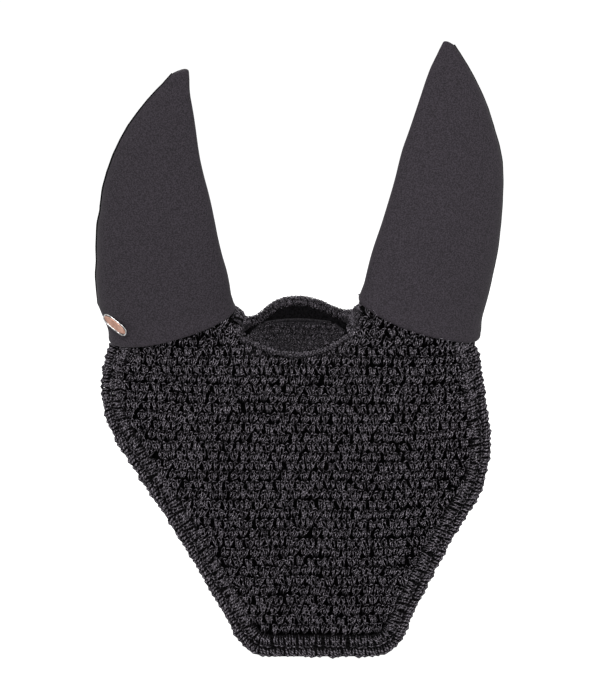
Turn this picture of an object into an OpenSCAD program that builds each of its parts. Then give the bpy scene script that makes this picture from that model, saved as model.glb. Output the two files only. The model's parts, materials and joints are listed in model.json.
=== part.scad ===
// Ear bonnet (fly veil) for a horse: a lined, crocheted forehead panel, two stretch-fabric
// ear covers, and a crocheted band that passes behind the ears.
// Millimetres. X runs to the viewer's right, Y runs back over the poll, Z runs up.
// The origin is the middle of the poll, level with the left ear's base.

/* [Forehead panel] */
// Drop from the poll to the lower hem
panel_drop = 257.5; // [240:0.5:285]
// Thickness of the crocheted panel
panel_thickness = 3.6; // [2.5:0.1:5]
// Distance of the forehead plane in front of the ears' base line
forehead_depth = 30; // [24:1:36]
// Depth by which the panel's flanks wrap back round the head
wrap_depth = 40; // [25:1:50]
// Reach from the middle at which the wrap has that depth
wrap_reach = 150; // [140:1:170]
// Reach of the left shoulder corner from the middle
left_shoulder_reach = 167; // [162:1:175]
// Drop of the left shoulder corner
left_shoulder_drop = 69; // [60:1:78]
// Reach of the lower hem to the left
left_hem_reach = 48; // [40:1:60]
// Reach of the right shoulder corner from the middle
right_shoulder_reach = 145; // [139:1:152]
// Drop of the right shoulder corner
right_shoulder_drop = 110; // [100:1:122]
// Reach of the lower hem to the right
right_hem_reach = 65; // [50:1:70]
// Depth by which the slanting flanks are drawn in
flank_dish = 3; // [0:0.5:4]
// Length cut from each edge where the shoulder is rounded
shoulder_round = 32; // [20:1:36]
// Length cut from each edge where the hem's corners are rounded
hem_round = 12; // [8:1:16]

/* [Crochet net] */
// Width of one stitch group in the net
stitch_width = 15; // [14:0.5:18]
// Height of one row of the net
row_height = 14; // [13:0.5:17]
// Width of the gap between two stitch groups
gap_width = 6; // [3:0.5:8]
// Height of that gap
gap_height = 5.5; // [3:0.5:7]
// Rows that follow the ear seams before the rows run level
seam_rows = 5; // [4:1:6]
// Drop at which the rows run level
level_drop = 76; // [68:1:84]

/* [Edging] */
// Width of the row of posts worked round the panel
border_width = 8.4; // [6:0.2:10]
// Depth of the grooves between those posts
post_relief = 0.7; // [0:0.1:1]
// Width of the outer finishing row
trim_width = 6.6; // [5:0.2:8]
// Thickness of the outer finishing row
trim_thickness = 5; // [4:0.2:6]
// Share of its width that the finishing row gains and loses stitch by stitch
trim_scallop = 0.08; // [0:0.02:0.15]
// Clearance left at a sewn or worked joint
seam_gap = 0.4; // [0.3:0.05:0.7]
// Drop of the crochet's edge below an ear's base
ear_joint_drop = 1.4; // [1.2:0.1:1.8]

/* [Poll opening and lining] */
// Drop of the crocheted lip at the front of the poll opening
lip_drop = 23; // [18:0.5:28]
// Radius of the finishing row on that lip
lip_row_radius = 2.2; // [1.6:0.1:3]
// Thickness of the lining behind the crochet
lining_thickness = 1; // [0.6:0.1:1.6]
// Height of the lining's turned-back flap above the origin
flap_height = 1.5; // [-2:0.5:5]
// Distance of the flap's edge behind the ears' base line
flap_back = 12; // [6:1:18]
// Radius of the hem on the flap's edge
flap_hem_radius = 1.1; // [0.8:0.1:1.6]
// Height over which the surface turns back to the flap
poll_turn = 44; // [36:1:52]
// Height over which the panel meets the ear seams
seam_turn = 40; // [30:1:50]
// Forward bulge of the rolled lip
lip_bulge = 7; // [0:0.5:9]
// Depth of the crease under the lip
crease_depth = 5; // [0:0.5:8]

/* [Rear band] */
// Height of the crocheted band behind the ears
band_height = 22; // [16:1:26]
// Thickness of the band
band_thickness = 4.2; // [3:0.1:5]
// Distance of the arch behind the ears' back seams
arch_back = 26; // [18:1:34]
// Dip of the band on both sides of the arch
arch_dip = 24; // [16:0.5:28]
// Rise of the arch's crest out of that dip
arch_rise = 20.5; // [12:0.5:24]
// Radius of the finishing row on the arch
arch_row_radius = 3.4; // [2.4:0.1:3.8]

/* [Ears] */
// Length of an ear cover from its base to its tip
ear_length = 219; // [195:1:240]
// Half of an ear cover's width at the base
ear_half_width = 51; // [46:0.5:53]
// Half of an ear cover's depth at the base
ear_half_depth = 26; // [22:0.5:29]
// Half of the blunt tip's width
tip_half_width = 2.6; // [2:0.1:4]
// Half of the blunt tip's depth
tip_half_depth = 1.8; // [1.5:0.1:3]
// Thickness of the stretch fabric
ear_wall = 2.2; // [1.6:0.1:2.8]
// Forward slope of the base seam
base_pitch = 26; // [16:1:32]
// Height of the sewn-down cuff, where the cover flexes
cuff_height = 45; // [40:1:54]
// Radius of the seam along the outer edge
edge_seam_radius = 0.9; // [0.6:0.1:1.2]
// Radius of the thread line round the base
base_seam_radius = 0.9; // [0.6:0.1:1.2]

/* [Left ear] */
// Distance of the base's middle from the middle of the poll
left_ear_offset = 109; // [104:0.5:110]
// Fall of the base towards the outside
left_ear_roll = 15; // [12:1:20]
// Turn of the base towards the outside
left_ear_yaw = 9; // [0:1:10]
// Lean of the ear towards the outside
left_ear_splay = -2; // [-6:0.5:4]
// Lean of the ear towards the back, less than 0 for a lean to the front
left_ear_lean = -21; // [-24:1:10]
// Sideways bow of the ear's middle line
left_ear_bow = 16; // [12:1:22]

/* [Right ear] */
// Distance of the base's middle from the middle of the poll
right_ear_offset = 85.5; // [84:0.5:90]
// Height of the base's middle above the left one
right_ear_rise = 4.5; // [0:0.5:8]
// Fall of the base towards the outside
right_ear_roll = 18; // [14:1:22]
// Turn of the base towards the outside
right_ear_yaw = 16; // [10:1:22]
// Lean of the ear towards the outside
right_ear_splay = 6; // [0:0.5:9]
// Lean of the ear towards the back, less than 0 for a lean to the front
right_ear_lean = 9; // [-6:1:14]
// Sideways bow of the ear's middle line
right_ear_bow = 13; // [8:1:18]

/* [Badge] */
// Length of the oval badge
badge_length = 24.5; // [22:0.5:29]
// Width of the oval badge
badge_width = 9.5; // [8:0.5:12]
// Thickness of the badge's rim
badge_rim_height = 1.8; // [1.4:0.1:2.4]
// Width of the badge's rim
badge_rim_width = 1; // [0.8:0.1:1.4]
// Slope of the badge across the ear
badge_slope = 34; // [20:1:40]
// Height of the badge above the base seam
badge_above_seam = 18; // [16:0.5:21]
// Place of the badge round the ear, from the outer edge
badge_turn = 36; // [26:1:40]
// Radius of a fixing prong
prong_radius = 0.8; // [0.6:0.05:1]
// Distance between the two prongs
prong_spacing = 8; // [7:0.5:9]

/* [Hidden] */

yarn_colour = [0.16, 0.155, 0.165];
border_colour = [0.19, 0.185, 0.195];
trim_colour = [0.21, 0.205, 0.215];
lining_colour = [0.11, 0.105, 0.115];
fabric_colour = [0.235, 0.215, 0.24];
cuff_colour = [0.225, 0.205, 0.23];
thread_colour = [0.08, 0.08, 0.085];
silver_colour = [0.82, 0.82, 0.84];
copper_colour = [0.85, 0.6, 0.5];
steel_colour = [0.6, 0.6, 0.62];

// Small helpers

function unit(v) = v / norm(v);
function mix(a, b, t) = a + (b - a) * t;
function clamp01(t) = min(max(t, 0), 1);
function ease(t) = let (c = clamp01(t)) c * c * (3 - 2 * c);
function bell(d, width) = exp(-pow(d / width, 2));
function flat(lists) = [for (l = lists) for (e = l) e];
function last(list) = list[len(list) - 1];
function rot_x(a) = [[1, 0, 0], [0, cos(a), -sin(a)], [0, sin(a), cos(a)]];
function rot_y(a) = [[cos(a), 0, sin(a)], [0, 1, 0], [-sin(a), 0, cos(a)]];
function rot_z(a) = [[cos(a), -sin(a), 0], [sin(a), cos(a), 0], [0, 0, 1]];
function quad(a, b, c, d) = [[a, b, c], [a, c, d]];
function flipped(faces) = [for (f = faces) [f[0], f[2], f[1]]];

// Faces of a grid of rings, each ring closed on itself
function ring_faces(rings, sides, first = 0) = flat([
  for (i = [0:rings - 2], j = [0:sides - 1])
    let (a = first + i * sides, k = (j + 1) % sides)
      quad(a + j, a + sides + j, a + sides + k, a + k)
]);

// Fan that closes a ring of points
function fan(first, sides) = [for (j = [1:sides - 2]) [first, first + j, first + j + 1]];

// Solid swept through a list of equal rings, closed by a fan at each end
module skin(rings) {
  sides = len(rings[0]);
  count = len(rings);
  faces = concat(
    ring_faces(count, sides),
    fan(0, sides),
    flipped(fan((count - 1) * sides, sides))
  );
  polyhedron(flat(rings), faces, convexity = 10);
}

// Directions of a line of points, by the points on both sides
function tangent(line, i) = unit(line[min(i + 1, len(line) - 1)] - line[max(i - 1, 0)]);

// Rings of a round cord along a line, with a radius for each point
function cord_rings(line, radii, up, sides) = [
  for (i = [0:len(line) - 1])
    let (
      along = tangent(line, i),
      side = unit(cross(along, up)),
      top = cross(side, along)
    )
      [for (j = [0:sides - 1])
        line[i] + radii[i] * (cos(360 * j / sides) * side - sin(360 * j / sides) * top)]
];

function same(value, line) = [for (p = line) value];

// The ears

cord_sides = 6;
ear_sides = 32;
shape_power = 2.5;
shape_fullness = 0.86;
bow_power = 1.3;
depth_power = 0.75;
settle_share = 0.35;

// An ear: side, middle of its base, roll, yaw, splay, lean and bow
left_ear = [
  -1, [-left_ear_offset, 0, 0], left_ear_roll, left_ear_yaw,
  left_ear_splay, left_ear_lean, left_ear_bow
];
right_ear = [
  1, [right_ear_offset, 0, right_ear_rise], right_ear_roll, right_ear_yaw,
  right_ear_splay, right_ear_lean, right_ear_bow
];

function ear_side(ear) = ear[0];
function ear_base(ear) = rot_z(ear[0] * ear[3]) * rot_y(ear[0] * ear[2]) * rot_x(base_pitch);
function ear_axis(ear) = unit([ear[0] * tan(ear[4]), tan(ear[5]), 1]);

// Outward and backward directions of the section at a share t of the length
function upper_out(ear) =
  let (axis = ear_axis(ear), out = rot_z(ear[0] * ear[3]) * [ear[0], 0, 0])
    unit(out - (out * axis) * axis);
function section_out(ear, t) =
  unit(mix(ear_base(ear) * [ear[0], 0, 0], upper_out(ear), ease(t / settle_share)));
function section_back(ear, t) =
  unit(mix(
    ear_base(ear) * [0, 1, 0],
    ear[0] * cross(ear_axis(ear), upper_out(ear)),
    ease(t / settle_share)
  ));

function half_width(t) =
  mix(tip_half_width, ear_half_width, pow(1 - pow(t, shape_power), shape_fullness));
function half_depth(t) = mix(tip_half_depth, ear_half_depth, pow(1 - t, depth_power));
function spine(ear, t) =
  ear[1] + ear_axis(ear) * ear_length * t
    + upper_out(ear) * ear[6] * sin(180 * pow(t, bow_power));

// Point on an ear at share t of its length and angle turn, from the outer edge to the back
function ear_point(ear, t, turn, inset = 0) =
  spine(ear, t)
    + section_out(ear, t) * (half_width(t) - inset) * cos(turn)
    + section_back(ear, t) * (half_depth(t) - inset) * sin(turn);
function ear_ring(ear, t, inset = 0) =
  [for (j = [0:ear_sides - 1]) ear_point(ear, t, 360 * j / ear_sides, inset)];

flex_share = cuff_height / ear_length;
flex_gap_share = seam_gap / ear_length;
cuff_rings = 6;
cover_rings = 15;
lining_rings = 12;
tip_crowding = 1.5;
lining_end = 0.95;

// Shares of the length from start to end, closer together towards the end
function crowded(start, end, count) = [
  for (i = [0:count - 1]) end - (end - start) * pow(1 - i / (count - 1), tip_crowding)
];

module ear_cuff(ear) {
  shares = [for (i = [0:cuff_rings - 1]) flex_share * i / (cuff_rings - 1)];
  outer = [for (t = shares) ear_ring(ear, t)];
  inner = [for (i = [cuff_rings - 1:-1:0]) ear_ring(ear, shares[i], ear_wall)];
  faces = ring_faces(2 * cuff_rings + 1, ear_sides);
  count = 2 * cuff_rings * ear_sides;
  wrapped = [for (f = faces) [for (v = f) v % count]];
  polyhedron(flat(concat(outer, inner)), ear_side(ear) < 0 ? flipped(wrapped) : wrapped, convexity = 10);
}

module ear_cover(ear) {
  start = flex_share + flex_gap_share;
  outer = [for (t = crowded(start, 1, cover_rings)) ear_ring(ear, t)];
  shares = crowded(start, lining_end, lining_rings);
  inner = [for (i = [lining_rings - 1:-1:0]) ear_ring(ear, shares[i], ear_wall)];
  outer_count = cover_rings * ear_sides;
  total = outer_count + lining_rings * ear_sides;
  faces = concat(
    ring_faces(cover_rings, ear_sides),
    flipped(fan(outer_count - ear_sides, ear_sides)),
    fan(outer_count, ear_sides),
    ring_faces(lining_rings, ear_sides, outer_count),
    flat([
      for (j = [0:ear_sides - 1])
        let (k = (j + 1) % ear_sides, a = total - ear_sides) quad(a + j, j, k, a + k)
    ])
  );
  polyhedron(
    flat(concat(outer, inner)), ear_side(ear) < 0 ? flipped(faces) : faces, convexity = 10
  );
}

// Raised seam along the outer edge, between two shares of the length
module edge_seam(ear, start, end, count) {
  line = [
    for (i = [0:count - 1])
      ear_point(ear, mix(start, end, i / (count - 1)), 0, -edge_seam_radius - seam_gap)
  ];
  skin(cord_rings(line, same(edge_seam_radius, line), [0, 1, 0], cord_sides));
}

cuff_seam_steps = 4;
cover_seam_steps = 18;
cover_seam_end = 0.97;
base_seam_steps = 36;
base_seam_share = (base_seam_radius + seam_gap) / ear_length;

// Thread line that closes on itself round the base of an ear
module base_seam(ear) {
  line = [
    for (i = [0:base_seam_steps - 1])
      ear_point(
        ear, base_seam_share, 360 * i / base_seam_steps, -base_seam_radius - seam_gap
      )
  ];
  looped = concat([last(line)], line, [line[0]]);
  rings = cord_rings(looped, same(base_seam_radius, looped), [0, 0, 1], cord_sides);
  closed = [for (i = [1:base_seam_steps]) rings[i]];
  count = base_seam_steps * cord_sides;
  faces = [
    for (f = ring_faces(base_seam_steps + 1, cord_sides)) [for (v = f) v % count]
  ];
  polyhedron(flat(closed), faces, convexity = 10);
}

// The top line of the surface: ear seams joined by the edge of the turned-back flap

seam_from = 20;
poll_span_edges = [panel_join(left_ear, 180 - seam_from)[0], panel_join(right_ear, 180 - seam_from)[0]];

// Point of the panel's top line under an ear, at an angle in front of the outer edge
function panel_join(ear, turn) = ear_point(ear, 0, -turn, ear_wall / 2) - [0, 0, ear_joint_drop];

// Angle of an ear's base seam at a given x, on its front half
function seam_turn_at(ear, x) =
  let (
    out = section_out(ear, 0)[0] * (half_width(0) - ear_wall / 2),
    back = section_back(ear, 0)[0] * (half_depth(0) - ear_wall / 2),
    share = (x - ear[1][0]) / norm([out, back]),
    lead = ear[0] * atan2(-back, ear[0] * out)
  )
    min(max(ear[0] > 0
      ? acos(min(max(share, -1), 1)) + lead
      : acos(min(max(-share, -1), 1)) - lead, seam_from), 180 - seam_from);

function poll_share(x) = (x - poll_span_edges[0]) / (poll_span_edges[1] - poll_span_edges[0]);

// Depth and height of the top line at a given x
function top_line(x) =
  x <= poll_span_edges[0] ? under_ear(left_ear, x)
  : x >= poll_span_edges[1] ? under_ear(right_ear, x)
  : let (
      s = poll_share(x),
      a = panel_join(left_ear, 180 - seam_from),
      b = panel_join(right_ear, 180 - seam_from),
      sag = sin(180 * s)
    )
      [mix(mix(a[1], b[1], s), flap_back, sag), mix(mix(a[2], b[2], s), flap_height, sag)];
function under_ear(ear, x) = let (p = panel_join(ear, seam_turn_at(ear, x))) [p[1], p[2]];

// Height of the crochet's top edge, which passes round the front of the poll opening
function crochet_top(x) =
  let (
    s = poll_share(x),
    a = panel_join(left_ear, 180 - seam_from)[2],
    b = panel_join(right_ear, 180 - seam_from)[2]
  )
    s <= 0 || s >= 1 ? top_line(x)[1] : mix(mix(a, b, s), -lip_drop, pow(sin(180 * s), lip_power));

// Height of the lining's top edge: it follows the crochet and then rises as the flap
function lining_top(x) =
  let (s = poll_share(x))
    mix(crochet_top(x), top_line(x)[1], ease((s - flap_from) / flap_ramp) * ease((1 - flap_from - s) / flap_ramp));

// The panel's curved surface

lip_power = 0.5;
flap_from = 0.08;
flap_ramp = 0.14;
lip_spread = 12;
crease_drop = 46;
crease_spread = 14;
turn_power = 2.2;
probe = 0.5;

function poll_weight(x) = let (s = poll_share(x)) s <= 0 || s >= 1 ? 0 : pow(sin(180 * s), 2);
function forehead(x) = -forehead_depth + wrap_depth * pow(abs(x) / wrap_reach, 3);

// Depth of the panel's middle surface at a place seen from the front
function depth(x, z) =
  let (
    top = top_line(x),
    poll = poll_weight(x),
    reach = mix(seam_turn, poll_turn, poll),
    turned = pow(1 - clamp01((top[1] - z) / reach), turn_power),
    rolled = crease_depth * bell(z + crease_drop, crease_spread)
      - lip_bulge * bell(z + lip_drop + lip_spread / 2, lip_spread)
  )
    mix(forehead(x), top[0], turned) + poll * rolled;

function on_panel(p) = [p[0], depth(p[0], p[1]), p[1]];
function panel_normal(p) =
  unit(cross(
    on_panel(p + [0, probe]) - on_panel(p - [0, probe]),
    on_panel(p + [probe, 0]) - on_panel(p - [probe, 0])
  ));

// Point at a height above the panel's middle surface, towards the viewer if negative
function lifted(p, height) = on_panel(p) + panel_normal(p) * height;

// The panel's outline, set in by a distance

outline_step = 5;
corner_steps = 6;
corner_shrink = 0.85;
least_round = 0.6;
top_overhang = 1;

left_top_reach = -ear_point(left_ear, 0, 0)[0] + top_overhang;
right_top_reach = ear_point(right_ear, 0, 0)[0] - top_overhang;

outline_corners = [
  [-left_top_reach, 0], [-left_shoulder_reach, -left_shoulder_drop],
  [-left_hem_reach, -panel_drop], [right_hem_reach, -panel_drop],
  [right_shoulder_reach, -right_shoulder_drop], [right_top_reach, 0]
];
corner_rounds = [shoulder_round, hem_round, hem_round, shoulder_round];

function inward(a, b) = let (d = unit(b - a)) [-d[1], d[0]];

// Corner where two edges meet once both are moved in by a distance
function inset_corner(a, b, c, inset) =
  let (m = inward(a, b), n = inward(b, c)) b + inset * (m + n) / (1 + m * n);

// Corners of the outline moved in by a distance, with both ends on the top line
function inset_corners(inset) =
  let (
    c = outline_corners,
    ends = [c[0][0] + inset, c[5][0] - inset]
  )
    concat(
      [[ends[0], top_line(ends[0])[1]]],
      [for (i = [1:4]) inset_corner(c[i - 1], c[i], c[i + 1], inset)],
      [[ends[1], top_line(ends[1])[1]]]
    );

function curve(a, b, c, t) = mix(mix(a, b, t), mix(b, c, t), t);

// Steps along each straight edge, worked out once so that all insets match
straight_steps = [
  for (i = [0:4])
    max(1, round((norm(outline_corners[i + 1] - outline_corners[i]) - shoulder_round) / outline_step))
];

// Smooth outline: straight edges joined by rounded corners
function outline(inset) =
  let (
    c = inset_corners(inset),
    cut = [for (r = corner_rounds) max(r - corner_shrink * inset, least_round)],
    enter = [for (i = [1:4]) c[i] + unit(c[i - 1] - c[i]) * cut[i - 1]],
    leave = [for (i = [1:4]) c[i] + unit(c[i + 1] - c[i]) * cut[i - 1]]
  )
    concat(
      flat([
        for (i = [0:3])
          let (from = i == 0 ? c[0] : leave[i - 1], dish = i % 2 * flank_dish * inward(from, enter[i]))
            concat(
              [
                for (k = [0:straight_steps[i] - 1])
                  let (t = k / straight_steps[i]) mix(from, enter[i], t) + dish * sin(180 * t)
              ],
              [for (k = [0:corner_steps - 1]) curve(enter[i], c[i + 1], leave[i], k / corner_steps)]
            )
      ]),
      [for (k = [0:straight_steps[4]]) mix(leave[3], c[5], k / straight_steps[4])]
    );

// Solid strip of the panel's surface between two insets, with a thickness for each station
module outline_strip(outer_inset, inner_inset, thickness) {
  outer = outline(outer_inset);
  inner = outline(inner_inset);
  rings = [
    for (i = [0:len(outer) - 1])
      [
        lifted(outer[i], thickness[i] / 2), lifted(inner[i], thickness[i] / 2),
        lifted(inner[i], -thickness[i] / 2), lifted(outer[i], -thickness[i] / 2)
      ]
  ];
  skin(rings);
}

// The crocheted net

net_inset = trim_width + border_width + 2 * seam_gap + 0.2;
net_drop = panel_drop - net_inset;
level_rows = round((net_drop - level_drop) / row_height);
row_count = seam_rows + level_rows;
half_stitch = stitch_width / 2;
edge_share = 0.35;

left_turn = straight_steps[0] + straight_steps[1] + corner_steps + floor(corner_steps / 2);
right_turn = left_turn + straight_steps[2] + corner_steps;

// The two sides of an outline, as pairs of height and x
function left_edge(line) = [for (i = [0:left_turn]) [line[i][1], line[i][0]]];
function right_edge(line) = [for (i = [right_turn:len(line) - 1]) [line[i][1], line[i][0]]];

// Height of row line i at a given x: the first rows follow the top edge
function line_height(x, i) =
  i <= seam_rows
    ? mix(crochet_top(x), -level_drop, i / seam_rows)
    : -mix(level_drop, net_drop, (i - seam_rows) / level_rows);

net_left = left_edge(outline(net_inset));
net_right = right_edge(outline(net_inset));
left_ends = [for (i = [0:row_count]) lookup(line_height(net_left[0][1], i), net_left)];
right_ends = [for (i = [0:row_count]) lookup(line_height(last(net_right)[1], i), net_right)];

// Half-stitch numbers that lie inside row line i
first_half = [for (x = left_ends) ceil(x / half_stitch + edge_share)];
last_half = [for (x = right_ends) floor(x / half_stitch - edge_share)];

// Points of row line i, from its left end to its right end
function line_points(i) = concat(
  [[left_ends[i], line_height(left_ends[i], i)]],
  [
    for (h = [first_half[i]:last_half[i]])
      [h * half_stitch, line_height(h * half_stitch, i)]
  ],
  [[right_ends[i], line_height(right_ends[i], i)]]
);

row_lines = [for (i = [0:row_count]) line_points(i)];
line_starts = [for (i = 0, n = 0; i <= row_count; n = n + len(row_lines[i]), i = i + 1) n];
line_total = last(line_starts) + len(last(row_lines));

// Number of the point of row line i at half-stitch h
function at_half(i, h) = line_starts[i] + 1 + h - first_half[i];

// Half-stitches at which the gaps of row i start: every second one, staggered row by row
function gap_starts(i) =
  let (
    low = max(first_half[i], first_half[i + 1]),
    high = min(last_half[i], last_half[i + 1]),
    from = low + (low + i) % 2
  )
    [for (h = [from:2:high - 2]) h];
row_gaps = [for (i = [0:row_count - 1]) gap_starts(i)];
gap_firsts = [for (i = 0, n = 0; i < row_count; n = n + len(row_gaps[i]), i = i + 1) n];
gap_total = last(gap_firsts) + len(last(row_gaps));

// Corners of the gap that starts at half-stitch h of row i: top, right, bottom and left
function gap_points(i, h) =
  let (
    x = (h + 1) * half_stitch,
    top = line_height(x, i),
    bottom = line_height(x, i + 1),
    middle = (top + bottom) / 2,
    tall = min(gap_height, 0.6 * (top - bottom)) / 2,
    wide = gap_width / 2
  )
    [[x, middle + tall], [x + wide, middle], [x, middle - tall], [x - wide, middle]];

net_points = concat(
  flat(row_lines),
  flat([for (i = [0:row_count - 1], h = row_gaps[i]) gap_points(i, h)])
);

// Faces that surround one gap, seen from the front
function gap_faces(i, h, g) =
  let (
    tl = at_half(i, h), tm = tl + 1, tr = tl + 2,
    bl = at_half(i + 1, h), bm = bl + 1, br = bl + 2,
    t = line_total + 4 * g, r = t + 1, b = t + 2, l = t + 3
  )
    [
      [tl, tm, t], [tm, tr, t], [tr, br, r], [br, bm, b], [bm, bl, b], [bl, tl, l],
      [t, tr, r], [r, br, b], [b, bl, l], [l, tl, t]
    ];

// Faces between two chains of points, stepping along whichever lags behind
function zip(a, a_end, b, b_end) =
  a == a_end && b == b_end ? []
  : a == a_end || (b < b_end && net_points[b + 1][0] < net_points[a + 1][0])
    ? concat([[a, b + 1, b]], zip(a, a_end, b + 1, b_end))
    : concat([[a, a + 1, b]], zip(a + 1, a_end, b, b_end));

// Faces of row i: plain selvage, gaps, plain selvage
function row_faces(i) =
  let (
    starts = row_gaps[i],
    left_half = starts[0],
    right_half = last(starts) + 2
  )
    concat(
      zip(line_starts[i], at_half(i, left_half), line_starts[i + 1], at_half(i + 1, left_half)),
      flat([for (k = [0:len(starts) - 1]) gap_faces(i, starts[k], gap_firsts[i] + k)]),
      zip(
        at_half(i, right_half), line_starts[i] + len(row_lines[i]) - 1,
        at_half(i + 1, right_half), line_starts[i + 1] + len(row_lines[i + 1]) - 1
      )
    );

// Numbers of the points round the net's outer edge, clockwise from the top left
net_rim = concat(
  [for (k = [0:len(row_lines[0]) - 1]) k],
  [for (i = [1:row_count]) line_starts[i] + len(row_lines[i]) - 1],
  [for (k = [len(last(row_lines)) - 2:-1:0]) line_starts[row_count] + k],
  [for (i = [row_count - 1:-1:1]) line_starts[i]]
);

module front_panel() {
  back = len(net_points);
  points = concat(
    [for (p = net_points) lifted(p, -panel_thickness / 2)],
    [for (p = net_points) lifted(p, panel_thickness / 2)]
  );
  face = flat([for (i = [0:row_count - 1]) row_faces(i)]);
  rim = flat([
    for (k = [0:len(net_rim) - 1])
      let (a = net_rim[k], b = net_rim[(k + 1) % len(net_rim)]) quad(a, a + back, b + back, b)
  ]);
  walls = flat([
    for (g = [0:gap_total - 1], k = [0:3])
      let (a = line_total + 4 * g + k, b = line_total + 4 * g + (k + 1) % 4)
        quad(a, b, b + back, a + back)
  ]);
  color(yarn_colour)
    polyhedron(
      points,
      concat(face, flipped([for (f = face) f + [back, back, back]]), rim, walls),
      convexity = 20
    );
}

// Edging of the panel

module panel_border() {
  outer = trim_width + seam_gap;
  stations = len(outline(outer));
  ribbed = [for (i = [0:stations - 1]) panel_thickness - (i % 2) * 2 * post_relief];
  color(border_colour) outline_strip(outer, outer + border_width, ribbed);
}

module edge_trim() {
  middle = outline(trim_width / 2);
  rings = [
    for (i = [0:len(middle) - 1])
      let (
        p = middle[i],
        along = tangent(middle, i),
        side = [-along[1], along[0]],
        swell = (1 - trim_scallop) + trim_scallop * (i % 2)
      )
        [
          for (j = [0:cord_sides - 1])
            lifted(
              p + side * cos(360 * j / cord_sides) * swell * trim_width / 2,
              -sin(360 * j / cord_sides) * swell * trim_thickness / 2
            )
        ]
  ];
  color(trim_colour) skin(rings);
}

lip_steps = 24;
lip_margin = 0.13;
hem_steps = 20;

// Places across the poll opening, short of its ends by a share of its span
function poll_stations(margin, steps) = [
  for (i = [0:steps]) mix(poll_span_edges[0], poll_span_edges[1], mix(margin, 1 - margin, i / steps))
];

// Point for a cord of a given radius that lies on an edge of the surface
function on_edge(p, lift, radius) =
  lifted(p, lift) + unit(on_panel(p) - on_panel(p - [0, 2 * probe])) * (radius + seam_gap);

// Finishing row on the crocheted lip
module lip_row() {
  line = [
    for (x = poll_stations(lip_margin, lip_steps))
      on_edge([x, crochet_top(x) + seam_gap], 0, lip_row_radius)
  ];
  color(trim_colour) skin(cord_rings(line, same(lip_row_radius, line), [0, 0, 1], cord_sides));
}

// The lining behind the crochet

lining_gap = 1.1;
lip_clearance = 2.4;
lining_inset = trim_width + border_width / 2;
lining_below_seam = 1.5;
lining_rows = 14;
lining_columns = 30;
hem_margin = flap_from + flap_ramp;
lining_left = left_edge(outline(lining_inset));
lining_right = right_edge(outline(lining_inset));

// Height of the lining's middle above the panel's, with more room behind the rolled lip
function lining_lift(x) =
  panel_thickness / 2 + lining_gap + lining_thickness / 2 + lip_clearance * poll_weight(x);

// Height of row j of the lining's grid at a given x
function lining_height(x, j) =
  mix(lining_top(x) - lining_below_seam, lining_inset - panel_drop, j / lining_rows);
lining_points = [
  for (j = [0:lining_rows])
    let (
      from = lookup(lining_height(lining_left[0][1], j), lining_left),
      to = lookup(lining_height(last(lining_right)[1], j), lining_right)
    )
      for (k = [0:lining_columns])
        let (x = mix(from, to, k / lining_columns)) [x, lining_height(x, j)]
];

module panel_lining() {
  wide = lining_columns + 1;
  back = len(lining_points);
  front = flat([
    for (j = [0:lining_rows - 1], k = [0:lining_columns - 1])
      let (a = j * wide + k) quad(a, a + 1, a + wide + 1, a + wide)
  ]);
  rim = concat(
    [for (k = [0:lining_columns]) k],
    [for (j = [1:lining_rows]) j * wide + lining_columns],
    [for (k = [lining_columns - 1:-1:0]) lining_rows * wide + k],
    [for (j = [lining_rows - 1:-1:1]) j * wide]
  );
  edges = flat([
    for (i = [0:len(rim) - 1])
      let (a = rim[i], b = rim[(i + 1) % len(rim)]) quad(a, a + back, b + back, b)
  ]);
  points = concat(
    [for (p = lining_points) lifted(p, lining_lift(p[0]) - lining_thickness / 2)],
    [for (p = lining_points) lifted(p, lining_lift(p[0]) + lining_thickness / 2)]
  );
  color(lining_colour)
    polyhedron(points, concat(front, flipped([for (f = front) f + [back, back, back]]), edges), convexity = 20);
}

// Hem on the edge of the lining's flap
module flap_hem() {
  line = [
    for (x = poll_stations(hem_margin, hem_steps))
      on_edge([x, lining_top(x) - lining_below_seam], lining_lift(x), flap_hem_radius)
  ];
  color(lining_colour) skin(cord_rings(line, same(flap_hem_radius, line), [0, 0, 1], cord_sides));
}

// The band behind the ears

band_from = 20;
band_to = 100;
band_ear_steps = 10;
arch_steps = 22;
arch_pull = 0.36;
crest_share = 0.49;
crest_left = 0.12;
crest_right = 0.19;
crest_power = 3;
bridge_from = 109;
bridge_to = 190;
bridge_steps = 10;

// Top point of a band under the back of an ear's base seam
function band_join(ear, turn) = ear_point(ear, 0, turn, ear_wall / 2) - [0, 0, ear_joint_drop];
function ear_stretch(ear, from, to, steps) =
  [for (i = [0:steps]) band_join(ear, mix(from, to, i / steps))];

// Rounded crest of the arch, steeper on its left side
function crest(d) = exp(-pow(abs(d) / (d < 0 ? crest_left : crest_right), crest_power));

// Height of the arch over a straight line, at a share t of the way between the ears
function arch_height(t) = arch_rise * crest(t - crest_share) - arch_dip * sin(180 * t);

// Top line of the arch between the ears: a smooth curve pulled back, with a crest over the poll
arch_line =
  let (
    a = band_join(left_ear, band_to),
    b = band_join(right_ear, band_to),
    pull = [0, arch_back * 4 / 3, 0],
    leave = a + (b - a) * arch_pull + pull,
    arrive = b - (b - a) * arch_pull + pull
  )
    [
      for (i = [1:arch_steps - 1])
        let (t = i / arch_steps)
          mix(curve(a, leave, arrive, t), curve(leave, arrive, b, t), t) + [0, 0, arch_height(t)]
    ];

band_line = concat(
  ear_stretch(left_ear, band_from, band_to, band_ear_steps),
  arch_line,
  ear_stretch(right_ear, band_to, band_from, band_ear_steps)
);

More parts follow.
